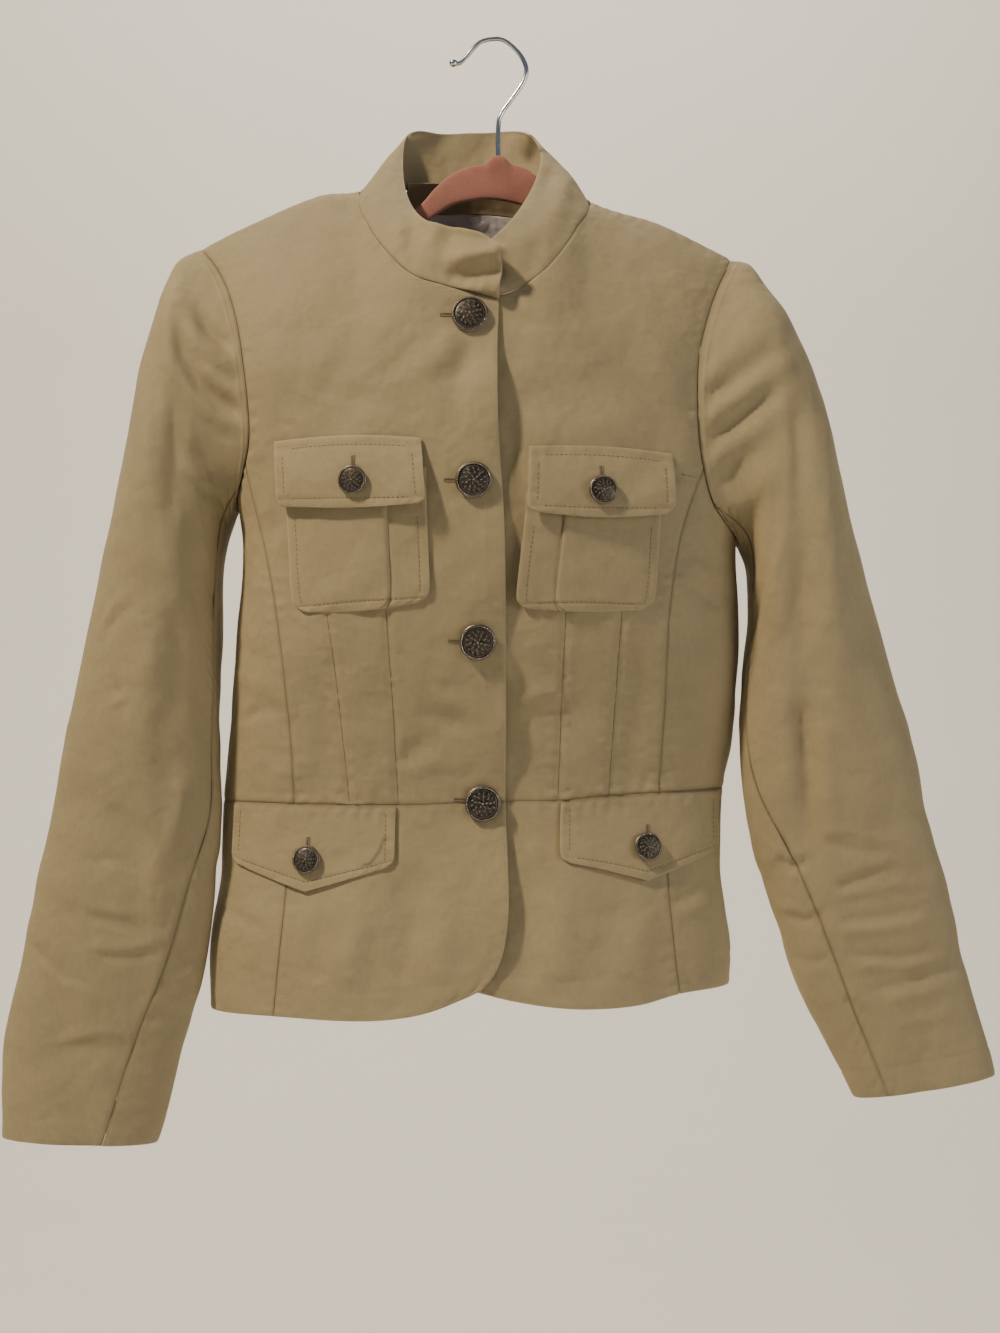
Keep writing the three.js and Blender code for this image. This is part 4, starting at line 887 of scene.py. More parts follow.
def span(start, end, bottom, top, rows, columns):
    """The angle and height of a grid between four edges, at these shares of them."""
    t, s = np.meshgrid(rows, columns, indexing="ij")
    zero, one = np.float64(0), np.float64(1)
    places = []
    for axis in (0, 1):
        low = mix(bottom(zero)[axis], bottom(one)[axis], s)
        high = mix(top(zero)[axis], top(one)[axis], s)
        rise = mix(bottom(s)[axis], top(s)[axis], t)
        across = mix(start(t)[axis], end(t)[axis], s)
        places.append(rise + across - mix(low, high, t))
    return places


def reach_of(points):
    """How far each point of a grid is from its four edges, along the cloth."""
    across = np.linalg.norm(np.diff(points, axis=1), axis=-1)
    up = np.linalg.norm(np.diff(points, axis=0), axis=-1)
    start = np.concatenate([np.zeros((len(points), 1)), np.cumsum(across, axis=1)], axis=1)
    bottom = np.concatenate([np.zeros((1, points.shape[1])), np.cumsum(up, axis=0)], axis=0)
    return dict(start=start, end=start[:, -1:] - start, bottom=bottom, top=bottom[-1:] - bottom)


# How the cloth lies along an edge: the dip at the edge and its reach, a sewn channel and
# how far inside the edge it runs, and the puckers' height, spacing and reach.
EDGE_FINISH = dict(
    seam=dict(dip=0.35, reach=0.9, channel=-0.2, inside=4, pucker=0.75, pitch=10, spread=8),
    armhole=dict(dip=0.4, reach=1.2, channel=-0.3, inside=5, pucker=0.45, pitch=12, spread=10),
    front=dict(dip=0.5, reach=1.2, channel=0.25, inside=9, pucker=0.42, pitch=9.8, spread=8),
    hem=dict(dip=0.4, reach=1.2, channel=0.4, inside=20, pucker=0.3, pitch=15, spread=16),
    patch=dict(dip=0.4, reach=0.9, channel=0.4, inside=6.2, pucker=0.25, pitch=9.5, spread=7),
    plain=dict(dip=0, reach=1, channel=0, inside=0, pucker=0, pitch=10, spread=1),
)


def edge_relief(finish, inward, along):
    kind = EDGE_FINISH[finish]
    dip = -kind["dip"] * np.exp(-((inward / kind["reach"]) ** 2))
    channel = -kind["channel"] * np.exp(-(((inward - kind["inside"]) / 1.1) ** 2))
    wave = np.sin(2 * math.pi * along / kind["pitch"] + 2.4 * np.sin(along / 29.0))
    wave = wave - 0.4 * np.abs(wave)
    strength = 0.55 + 0.45 * np.sin(along / 37.0 + 0.7) * np.sin(along / 13.0 + 0.2)
    held = 1 - np.exp(-((inward / 2.6) ** 2))
    pucker = kind["pucker"] * wave * strength * held * np.exp(-((inward / kind["spread"]) ** 2))
    return dip + channel + pucker


# Meshes


def put_in_scene(name, sheet, material, smooth=True):
    mesh = bpy.data.meshes.new(name)
    sheet.to_mesh(mesh)
    sheet.free()
    piece = bpy.data.objects.new(name, mesh)
    bpy.context.scene.collection.objects.link(piece)
    mesh.materials.append(material)
    mesh.polygons.foreach_set("use_smooth", [smooth] * len(mesh.polygons))
    return piece


def cloth_piece(name, points, normals, thickness, material, masks):
    """A sheet of cloth: a flat cut, shaped to the grid of points, with a wall."""
    rows, columns = points.shape[0] - 1, points.shape[1] - 1
    cut = reach_of(points)
    sheet = bmesh.new()
    bmesh.ops.create_grid(sheet, x_segments=columns, y_segments=rows, size=0.5)
    cut_uv = sheet.loops.layers.uv.new("Cut")
    layers = {mask: sheet.verts.layers.float.new(mask) for mask in masks}
    place_of = {}
    for vert in sheet.verts:
        place = (round((vert.co.y + 0.5) * rows), round((vert.co.x + 0.5) * columns))
        place_of[vert.index] = place
        vert.co = Vector(points[place]) * MM
        for mask, values in masks.items():
            vert[layers[mask]] = values[place]
    for face in sheet.faces:
        for loop in face.loops:
            place = place_of[loop.vert.index]
            loop[cut_uv].uv = (cut["start"][place] * MM, cut["bottom"][place] * MM)
    sheet.normal_update()
    sheet.faces.ensure_lookup_table()
    middle = sheet.faces[len(sheet.faces) // 2]
    if middle.normal.dot(Vector(normals[place_of[middle.verts[0].index]])) < 0:
        bmesh.ops.reverse_faces(sheet, faces=sheet.faces[:])
    piece = put_in_scene(name, sheet, material)
    wall = piece.modifiers.new("wall", "SOLIDIFY")
    wall.thickness = thickness * MM
    wall.offset = -1
    rim = piece.modifiers.new("rim", "BEVEL")
    rim.width = thickness * 0.22 * MM
    rim.segments = 2
    rim.limit_method = "ANGLE"
    rim.angle_limit = math.radians(60)
    return piece


def tube(sheet, points, radius, sides=6):
    """Adds a round tube along a line of points, closed at both ends."""
    points = np.asarray(points, float)
    radius = np.broadcast_to(np.asarray(radius, float), (len(points),))
    way = unit(np.gradient(points, axis=0))
    aside = unit(np.cross(way, np.array([0.0, 0.0, 1.0]) + 1e-3 * np.array([1.0, 2.0, 0.0])))
    above = np.cross(way, aside)
    made = bmesh.ops.create_grid(sheet, x_segments=sides, y_segments=len(points) - 1, size=0.5)
    for vert in made["verts"]:
        row = round((vert.co.y + 0.5) * (len(points) - 1))
        turn = 2 * math.pi * (vert.co.x + 0.5)
        out = aside[row] * math.cos(turn) + above[row] * math.sin(turn)
        vert.co = Vector(points[row] + out * radius[row]) * MM
    bmesh.ops.remove_doubles(sheet, verts=made["verts"], dist=1e-7)
    open_edges = [edge for edge in sheet.edges if edge.is_boundary]
    bmesh.ops.holes_fill(sheet, edges=open_edges, sides=sides + 1)


def finish_piece(piece, slot, *nodes):
    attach(piece, "root")
    if nodes:
        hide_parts(*nodes)


def finish_cloth(name, points, normals, thickness, look, relief, masks):
    material, slot = look
    shaped = points + normals * relief[..., None]
    piece = cloth_piece(name, shaped, normals, thickness, material, masks)
    finish_piece(piece, slot, name)
    return dict(name=name, points=shaped, normals=normals, reach=reach_of(shaped))


def edge_masks(reach, finishes):
    """Where the cloth is worn along folded edges, and where painted shade darkens the seams."""
    worn = np.zeros(reach["start"].shape)
    sunk = np.zeros(reach["start"].shape)
    for edge, finish in finishes.items():
        near = np.exp(-((reach[edge] / 1.3) ** 2))
        if finish in ("front", "hem", "patch"):
            worn = np.maximum(worn, near)
        # Seams and armholes get the sunk mask, which darkens them with painted shade
        if finish in ("seam", "armhole"):
            sunk = np.maximum(sunk, near)
    return dict(worn=worn, sunk=sunk)


ALONG = dict(start="bottom", end="bottom", bottom="start", top="start")


def edges_relief(reach, finishes):
    total = np.zeros(reach["start"].shape)
    for edge, finish in finishes.items():
        total += edge_relief(finish, reach[edge], reach[ALONG[edge]])
    return total


# Materials


def node_group(name, inputs, outputs):
    group = bpy.data.node_groups.new(name, "ShaderNodeTree")
    for label, kind, value in inputs:
        made = group.interface.new_socket(label, in_out="INPUT", socket_type=kind)
        if value is not None:
            made.default_value = value
    for label, kind in outputs:
        group.interface.new_socket(label, in_out="OUTPUT", socket_type=kind)
    return group, group.nodes.new("NodeGroupInput"), group.nodes.new("NodeGroupOutput")


def add_node(tree, kind, links=None, **settings):
    """A node with its settings; links go from a socket or a value to an input's name."""
    node = tree.nodes.new(kind)
    for key, value in settings.items():
        setattr(node, key, value)
    for key, value in (links or {}).items():
        if isinstance(value, bpy.types.NodeSocket):
            tree.links.new(value, node.inputs[key])
        else:
            node.inputs[key].default_value = value
    return node


def sums(tree, operation, a, b, clamp=False):
    node = add_node(tree, "ShaderNodeMath", {0: a, 1: b}, operation=operation, use_clamp=clamp)
    return node.outputs[0]


def blend(tree, factor, a, b, mode="MIX"):
    node = tree.nodes.new("ShaderNodeMix")
    node.data_type = "RGBA"
    node.blend_type = mode
    for index, value in ((0, factor), (6, a), (7, b)):
        if isinstance(value, bpy.types.NodeSocket):
            tree.links.new(value, node.inputs[index])
        else:
            node.inputs[index].default_value = value
    return node.outputs[2]


def spread(tree, value, low, high, to_low=0.0, to_high=1.0):
    node = add_node(tree, "ShaderNodeMapRange", {
        "Value": value, "From Min": low, "From Max": high, "To Min": to_low, "To Max": to_high,
    })
    return node.outputs[0]


def twill_group():
    """Twill weave with slubs and uneven dye, on the cut's own map, in metres, with painted shade in
    the seams.
    """
    group, given, out = node_group(
        "twill weave",
        (
            ("Colour", "NodeSocketColor", (0.4, 0.3, 0.2, 1)),
            ("Worn Colour", "NodeSocketColor", (0.5, 0.4, 0.3, 1)),
            ("Rib", "NodeSocketFloat", 0.0008),
            ("Unevenness", "NodeSocketFloat", 0.5),
            ("Roughness", "NodeSocketFloat", 0.55),
        ),
        (
            ("Colour", "NodeSocketColor"),
            ("Roughness", "NodeSocketFloat"),
            ("Height", "NodeSocketFloat"),
        ),
    )
    cut = add_node(group, "ShaderNodeUVMap", uv_map="Cut").outputs[0]
    place = add_node(group, "ShaderNodeTexCoord").outputs["Object"]
    leaned = add_node(group, "ShaderNodeMapping", {
        "Vector": cut, "Rotation": (0, 0, math.radians(58)),
    }).outputs[0]
    rib_scale = sums(group, "DIVIDE", 0.314, given.outputs["Rib"])
    ribs = add_node(group, "ShaderNodeTexWave", {
        "Vector": leaned, "Scale": rib_scale, "Distortion": 0.6, "Detail": 1.0,
    }).outputs["Fac"]
    streak_map = add_node(group, "ShaderNodeMapping", {
        "Vector": cut, "Scale": (900, 70, 1),
    }).outputs[0]
    streaks = add_node(group, "ShaderNodeTexNoise", {
        "Vector": streak_map, "Scale": 1.0, "Detail": 3.0, "Roughness": 0.6,
    }).outputs["Fac"]
    weft_map = add_node(group, "ShaderNodeMapping", {
        "Vector": cut, "Scale": (60, 800, 1),
    }).outputs[0]
    weft = add_node(group, "ShaderNodeTexNoise", {
        "Vector": weft_map, "Scale": 1.0, "Detail": 3.0, "Roughness": 0.6,
    }).outputs["Fac"]
    clouds = add_node(group, "ShaderNodeTexNoise", {
        "Vector": place, "Scale": 9.0, "Detail": 4.0, "Roughness": 0.55,
    }).outputs["Fac"]
    speckle = add_node(group, "ShaderNodeTexNoise", {
        "Vector": place, "Scale": 260.0, "Detail": 2.0,
    }).outputs["Fac"]
    yarn = sums(group, "MULTIPLY", sums(group, "ADD", streaks, weft), 0.5)
    tone = spread(group, yarn, 0.3, 0.7, 0.90, 1.08)
    broad = spread(group, clouds, 0.3, 0.7, 0.93, 1.06)
    grain = spread(group, speckle, 0.3, 0.7, 0.96, 1.04)
    shade = sums(group, "MULTIPLY", sums(group, "MULTIPLY", tone, broad), grain)
    rib_shade = spread(group, ribs, 0, 1, 0.94, 1.04)
    shade = sums(group, "MULTIPLY", shade, rib_shade)
    shade = sums(group, "ADD", sums(group, "MULTIPLY", sums(group, "SUBTRACT", shade, 1.0),
                                    given.outputs["Unevenness"]), 1.0)
    worn = add_node(group, "ShaderNodeAttribute", attribute_name="worn").outputs["Fac"]
    sunk = add_node(group, "ShaderNodeAttribute", attribute_name="sunk").outputs["Fac"]
    worn = sums(group, "MULTIPLY", worn, spread(group, clouds, 0.35, 0.65, 0.2, 0.7))
    colour = blend(group, worn, given.outputs["Colour"], given.outputs["Worn Colour"])
    grey = add_node(group, "ShaderNodeCombineColor", {"Red": shade, "Green": shade,
                                                      "Blue": shade}).outputs[0]
    colour = blend(group, 1.0, colour, grey, "MULTIPLY")
    # Painted shade: seams marked sunk are darkened towards a dark brown.
    colour = blend(group, sums(group, "MULTIPLY", sunk, 0.35), colour, (0.09, 0.07, 0.04, 1))
    rough = sums(group, "ADD", given.outputs["Roughness"], spread(group, yarn, 0.3, 0.7, -0.06, 0.06))
    height = sums(group, "ADD", sums(group, "MULTIPLY", ribs, 0.5), yarn)
    group.links.new(colour, out.inputs["Colour"])
    group.links.new(rough, out.inputs["Roughness"])
    group.links.new(height, out.inputs["Height"])
    return group


def wrinkle_group():
    """Small soft wrinkles of worn cotton, as a height."""
    group, given, out = node_group(
        "small wrinkles",
        (("Size", "NodeSocketFloat", 60.0),),
        (("Height", "NodeSocketFloat"),),
    )
    place = add_node(group, "ShaderNodeTexCoord").outputs["Object"]
    bent = add_node(group, "ShaderNodeTexNoise", {"Vector": place, "Scale": 14.0}).outputs["Color"]
    moved = add_node(group, "ShaderNodeVectorMath", {0: bent, 1: (0.03, 0.03, 0.03)},
                     operation="MULTIPLY").outputs[0]
    moved = add_node(group, "ShaderNodeVectorMath", {0: place, 1: moved},
                     operation="ADD").outputs[0]
    folds = add_node(group, "ShaderNodeTexNoise", {
        "Vector": moved, "Scale": given.outputs["Size"], "Detail": 2.0, "Roughness": 0.45,
    }).outputs["Fac"]
    group.links.new(folds, out.inputs["Height"])
    return group


TWILL = twill_group()
WRINKLES = wrinkle_group()


def plain_material(name):
    material = bpy.data.materials.new(name)
    material.use_nodes = True
    return material, material.node_tree, material.node_tree.nodes["Principled BSDF"]


def use_group(tree, group, values):
    node = tree.nodes.new("ShaderNodeGroup")
    node.node_tree = group
    for key, value in values.items():
        if isinstance(value, bpy.types.NodeSocket):
            tree.links.new(value, node.inputs[key])
        else:
            node.inputs[key].default_value = value
    return node


def twill_material(name, colour, worn, unevenness=0.8, stained=False):
    material, tree, shader = plain_material(name)
    weave = use_group(tree, TWILL, {
        "Colour": (*colour, 1), "Worn Colour": (*worn, 1), "Rib": 0.0009,
        "Unevenness": unevenness, "Roughness": 0.68,
    })
    wrinkles = use_group(tree, WRINKLES, {"Size": 42.0})
    colour_out = weave.outputs["Colour"]
    if stained:
        mark = add_node(tree, "ShaderNodeAttribute", attribute_name="stain").outputs["Fac"]
        colour_out = blend(tree, sums(tree, "MULTIPLY", mark, 0.75), colour_out,
                           (0.045, 0.058, 0.042, 1))
    soft = add_node(tree, "ShaderNodeBump", {
        "Height": wrinkles.outputs["Height"], "Strength": 0.75, "Distance": 0.0042,
    }).outputs[0]
    fine = add_node(tree, "ShaderNodeBump", {
        "Height": weave.outputs["Height"], "Strength": 0.35, "Distance": 0.00025, "Normal": soft,
    }).outputs[0]
    tree.links.new(colour_out, shader.inputs["Base Color"])
    tree.links.new(weave.outputs["Roughness"], shader.inputs["Roughness"])
    tree.links.new(fine, shader.inputs["Normal"])
    shader.inputs["Specular IOR Level"].default_value = 0.3
    shader.inputs["Sheen Weight"].default_value = 0.10
    shader.inputs["Sheen Roughness"].default_value = 0.45
    shader.inputs["Sheen Tint"].default_value = (1.0, 0.86, 0.62, 1)
    return material


def lining_material():
    material, tree, shader = plain_material("lining cloth")
    weave = use_group(tree, TWILL, {
        "Colour": (0.62, 0.57, 0.61, 1), "Worn Colour": (0.68, 0.63, 0.67, 1), "Rib": 0.0004,
        "Unevenness": 0.5, "Roughness": 0.36,
    })
    wrinkles = use_group(tree, WRINKLES, {"Size": 80.0})
    soft = add_node(tree, "ShaderNodeBump", {
        "Height": wrinkles.outputs["Height"], "Strength": 0.6, "Distance": 0.005,
    }).outputs[0]
    tree.links.new(weave.outputs["Colour"], shader.inputs["Base Color"])
    tree.links.new(weave.outputs["Roughness"], shader.inputs["Roughness"])
    tree.links.new(soft, shader.inputs["Normal"])
    return material


def thread_material(name, colour):
    material, tree, shader = plain_material(name)
    place = add_node(tree, "ShaderNodeTexCoord").outputs["Object"]
    twist = add_node(tree, "ShaderNodeTexNoise", {"Vector": place, "Scale": 2200.0}).outputs["Fac"]
    shade = spread(tree, twist, 0.3, 0.7, 0.0, 1.0)
    dark = tuple(c * 0.7 for c in colour)
    tree.links.new(blend(tree, shade, (*dark, 1), (*colour, 1)), shader.inputs["Base Color"])
    shader.inputs["Roughness"].default_value = 0.6
    shader.inputs["Sheen Weight"].default_value = 0.2
    return material


def pewter_material():
    material, tree, shader = plain_material("antique pewter")
    place = add_node(tree, "ShaderNodeTexCoord").outputs["Object"]
    raised = add_node(tree, "ShaderNodeAttribute", attribute_name="raised").outputs["Fac"]
    patina = add_node(tree, "ShaderNodeTexNoise", {
        "Vector": place, "Scale": 420.0, "Detail": 4.0,
    }).outputs["Fac"]
    broad = add_node(tree, "ShaderNodeTexNoise", {"Vector": place, "Scale": 90.0}).outputs["Fac"]
    worn = sums(tree, "ADD", raised, spread(tree, patina, 0.35, 0.65, -0.1, 0.1), clamp=True)
    colour = blend(tree, worn, (0.024, 0.021, 0.018, 1), (0.38, 0.345, 0.30, 1))
    colour = blend(tree, spread(tree, broad, 0.4, 0.7, 0, 0.4), colour, (0.12, 0.09, 0.06, 1))
    tree.links.new(colour, shader.inputs["Base Color"])
    tree.links.new(spread(tree, worn, 0, 1, 0.5, 0.24), shader.inputs["Roughness"])
    tree.links.new(spread(tree, worn, 0, 1, 0.75, 1.0), shader.inputs["Metallic"])
    bump = add_node(tree, "ShaderNodeBump", {
        "Height": patina, "Strength": 0.4, "Distance": 0.0002,
    }).outputs[0]
    tree.links.new(bump, shader.inputs["Normal"])
    return material


def velvet_material():
    material, tree, shader = plain_material("flocked velvet")
    place = add_node(tree, "ShaderNodeTexCoord").outputs["Object"]
    pile = add_node(tree, "ShaderNodeTexNoise", {
        "Vector": place, "Scale": 900.0, "Detail": 3.0,
    }).outputs["Fac"]
    brushed = add_node(tree, "ShaderNodeTexNoise", {
        "Vector": place, "Scale": 28.0, "Detail": 3.0,
    }).outputs["Fac"]
    colour = blend(tree, spread(tree, brushed, 0.35, 0.65), (0.33, 0.135, 0.10, 1),
                   (0.41, 0.185, 0.14, 1))
    colour = blend(tree, spread(tree, pile, 0.3, 0.7, 0, 0.3), colour, (0.22, 0.08, 0.065, 1))
    bump = add_node(tree, "ShaderNodeBump", {
        "Height": pile, "Strength": 0.5, "Distance": 0.0004,
    }).outputs[0]
    tree.links.new(colour, shader.inputs["Base Color"])
    tree.links.new(spread(tree, brushed, 0.3, 0.7, 0.82, 0.95), shader.inputs["Roughness"])
    tree.links.new(bump, shader.inputs["Normal"])
    shader.inputs["Sheen Weight"].default_value = 0.4
    shader.inputs["Sheen Roughness"].default_value = 0.35
    shader.inputs["Sheen Tint"].default_value = (1.0, 0.72, 0.66, 1)
    return material


def chrome_material():
    material, tree, shader = plain_material("polished steel")
    place = add_node(tree, "ShaderNodeTexCoord").outputs["Object"]
    smudge = add_node(tree, "ShaderNodeTexNoise", {
        "Vector": place, "Scale": 130.0, "Detail": 3.0,
    }).outputs["Fac"]
    tree.links.new(spread(tree, smudge, 0.35, 0.65, 0.10, 0.26), shader.inputs["Roughness"])
    colour = blend(tree, spread(tree, smudge, 0.4, 0.7), (0.66, 0.67, 0.68, 1),
                   (0.56, 0.56, 0.56, 1))
    tree.links.new(colour, shader.inputs["Base Color"])
    shader.inputs["Metallic"].default_value = 1.0
    return material


def paper_material():
    material, tree, shader = plain_material("pale backdrop")
    place = add_node(tree, "ShaderNodeTexCoord").outputs["Object"]
    faint = add_node(tree, "ShaderNodeTexNoise", {"Vector": place, "Scale": 3.0}).outputs["Fac"]
    colour = blend(tree, faint, (0.78, 0.75, 0.68, 1), (0.81, 0.78, 0.71, 1))
    tree.links.new(colour, shader.inputs["Base Color"])
    shader.inputs["Roughness"].default_value = 0.9
    return material


KHAKI = (0.298, 0.243, 0.138)
KHAKI_WORN = (0.41, 0.34, 0.205)
CLOTH_LOOK = (twill_material("khaki twill", KHAKI, KHAKI_WORN), "twill")
STAINED_LOOK = (twill_material("stained twill", KHAKI, KHAKI_WORN, stained=True), "twill")
FACING_LOOK = (twill_material("inner twill", (0.28, 0.225, 0.14), KHAKI), "facing")
LINING_LOOK = (lining_material(), "lining")
# The topstitch thread is darker than the real cloth-coloured thread: painted shade of the stitch
# holes.
THREAD = thread_material("topstitch thread darkened as painted shade", (0.17, 0.13, 0.07))
PALE_THREAD = thread_material("pale buttonhole thread", (0.27, 0.215, 0.13))
# Painted shade: the dark tubes laid where the cloth turns in at darts, folds and slits.
SEAM_SHADE = thread_material("painted seam shade", (0.15, 0.117, 0.066))
PEWTER = pewter_material()
VELVET = velvet_material()
CHROME = chrome_material()


# Sewing. A row of stitches follows a line on the finished cloth.


def line_inside(cloth, edge, distance, trim=(0, 0)):
    """A line on the cloth that runs inside one of its edges, and the cloth's normals."""
    points, normals, away = cloth["points"], cloth["normals"], cloth["reach"][edge]
    if edge in ("bottom", "top"):
        points, normals, away = points.swapaxes(0, 1), normals.swapaxes(0, 1), away.T
    if edge in ("end", "top"):
        points, normals, away = points[:, ::-1], normals[:, ::-1], away[:, ::-1]
    both = np.concatenate([points, normals], axis=-1)
    line = np.array([
        [np.interp(distance, reach, both[row, :, k]) for k in range(6)]
        for row, reach in enumerate(away)
    ])
    gone = measured(line[:, :3])
    return line[(gone >= trim[0]) & (gone <= gone[-1] - trim[1])]


def measured(line):
    steps = np.linalg.norm(np.diff(line, axis=0), axis=-1)
    return np.concatenate([[0], np.cumsum(steps)])


def even_steps(line, pitch):
    """The same line with a point at every pitch."""
    gone = measured(line[:, :3])
    places = np.arange(pitch / 2, gone[-1], pitch)
    return np.stack([np.interp(places, gone, column) for column in line.T], axis=-1)


def on_body(places, lift=0.0):
    """The line through these places (x, z) on the finished front, and its normals."""
    x, z = np.array(places, float).T
    gone = measured(np.stack([x, z], axis=-1))
    fine = np.linspace(0, gone[-1], max(4, int(gone[-1] / 2)))
    x, z = np.interp(fine, gone, x), np.interp(fine, gone, z)
    points, normals = body_point(angle_at("front", x, z), z, lift)
    across, down = in_photo(points)
    relief = creases(FRONT_CREASES, across, down, PIXEL)
    return np.concatenate([points + normals * relief[:, None], normals], axis=-1)


def nearest_on(cloth, line):
    """The same line laid on the nearest points of a finished cloth."""
    flat = cloth["points"].reshape(-1, 3)
    laid = line.copy()
    for row in laid:
        gap = flat - row[:3]
        off = gap @ row[3:]
        aside = np.linalg.norm(gap - off[:, None] * row[3:], axis=-1)
        close = np.argsort(aside)[:4]
        weight = 1 / (aside[close] + 0.05)
        row[:3] += row[3:] * (off[close] * weight).sum() / weight.sum()
    return laid


STITCH_LENGTH = 2.4
STITCH_PITCH = 3.2
STITCH_RADIUS = 0.27


def add_stitch(sheet, middle, way, above, size):
    aside = above.cross(way).normalized()
    turn = Matrix((way.normalized(), aside, above)).transposed().to_4x4()
    matrix = Matrix.Translation(middle * MM) @ turn @ Matrix.Diagonal((*(size * MM), 1))
    bmesh.ops.create_uvsphere(sheet, u_segments=6, v_segments=4, radius=1, matrix=matrix)


def stitch_rows(name, rows, pitch=STITCH_PITCH, length=STITCH_LENGTH, radius=STITCH_RADIUS):
    """Rows of stitches, each a small bar of thread lying half sunk in the cloth."""
    sheet = bmesh.new()
    for row in rows:
        line = even_steps(row, pitch)
        for i in range(1, len(line) - 1):
            way = Vector(line[i + 1, :3] - line[i - 1, :3])
            above = Vector(line[i, 3:]).normalized()
            middle = Vector(line[i, :3]) + above * radius * 0.35
            add_stitch(sheet, middle, way, above, Vector((length / 2, radius, radius)))
    # The stitches take the darkened thread, painted shade of the stitch holes.
    piece = put_in_scene(name, sheet, THREAD)
    finish_piece(piece, "twill")


def painted_shade_lines(name, lines, radius=0.3):
    """Painted shade: a thin dark tube along each line where the cloth turns in."""
    sheet = bmesh.new()
    for line in lines:
        thread = line[:, :3] - line[:, 3:] * radius * 0.5
        tube(sheet, thread, radius)
    bmesh.ops.recalc_face_normals(sheet, faces=sheet.faces[:])
    piece = put_in_scene(name, sheet, SEAM_SHADE)
    finish_piece(piece, "twill")


def buttonhole(name, cloth, inner, outer):
    """A worked buttonhole from one place (x, z) to another: a slit with a bar each side."""
    line = nearest_on(cloth, on_body((inner, outer), 8))
    slit = even_steps(line, 0.5)
    sheet = bmesh.new()
    for i in range(1, len(slit) - 1):
        way = Vector(slit[i + 1, :3] - slit[i - 1, :3]).normalized()
        above = Vector(slit[i, 3:]).normalized()
        aside = above.cross(way)
        for side in (-1, 1):
            middle = Vector(slit[i, :3]) + aside * side * 0.95 + above * 0.12
            add_stitch(sheet, middle, aside, above, Vector((0.6, 0.24, 0.42)))
    for end in (slit[0], slit[-1]):
        above = Vector(end[3:]).normalized()
        way = Vector(slit[-1, :3] - slit[0, :3]).normalized()
        add_stitch(sheet, Vector(end[:3]) + above * 0.1, above.cross(way), above,
                   Vector((1.8, 0.4, 0.4)))
    piece = put_in_scene(name, sheet, PALE_THREAD)
    finish_piece(piece, "twill")
    # The slit shows as a dark tube of painted shade.
    painted_shade_lines(f"{name}_slit", [line], 0.36)


# Panels of the body


def body_panel(name, edges, rows, columns, finishes, lift=None, extra=None):
    angle, z = span(*edges, rows, columns)
    lifts = lift(angle, z) if lift else np.zeros(angle.shape)
    points, normals = body_point(angle, z, lifts)
    reach = reach_of(points)
    relief = edges_relief(reach, finishes)
    facing = smooth_step(0.05, 0.5, np.cos(angle))
    across, down = in_photo(points)
    relief += facing * creases(FRONT_CREASES, across, down, PIXEL)
    behind = smooth_step(0.05, 0.5, -np.cos(angle))
    relief += behind * creases(BACK_CREASES, points[..., 0], points[..., 2])
    inner = np.minimum.reduce([reach[edge] for edge in reach])
    relief += 1.5 * slack(reach["start"], points[..., 2]) * smooth_step(0, 12, inner)
    if extra:
        relief += extra(points, reach)
    look = CLOTH_LOOK
    masks = edge_masks(reach, finishes)
    return finish_cloth(name, points, normals, CLOTH, look, relief, masks)


def dart_relief(side, points):
    total = np.zeros(points.shape[:-1])
    for line in DARTS[side]:
        x, z = points[..., 0], points[..., 2]
        away, _ = near_line(line, x, z)
        total -= 0.8 * np.exp(-((away / 2.4) ** 2))
        total += 0.3 * np.exp(-(((away - 4.5) / 2.6) ** 2))
        pucker = np.sin(z / 1.5 + 2.2 * np.sin(z / 23.0) + x / 9.0)
        total += 0.7 * pucker * np.exp(-(((away - 5) / 5) ** 2)) * np.sin(z / 31.0 + x) ** 2
    return total


def edge_gape(points, reach):
    """The overlapping edge stands away from the front under it between the buttons."""
    z = points[..., 2]
    gape = 9.0 * np.exp(-(((z + 258) / 34) ** 2)) + 4.6 * np.exp(-(((z + 366) / 30) ** 2))
    gape += 4.6 * np.exp(-(((z + 474) / 30) ** 2)) + 6.0 * np.exp(-(((z + 600) / 44) ** 2))
    return gape * np.exp(-((reach["start"] / 24) ** 2))


SEAM_SHARE, NECK_STEPS, FRONT_GRID_ROWS = 10, 2, 22
TOPSTITCH = 6.6


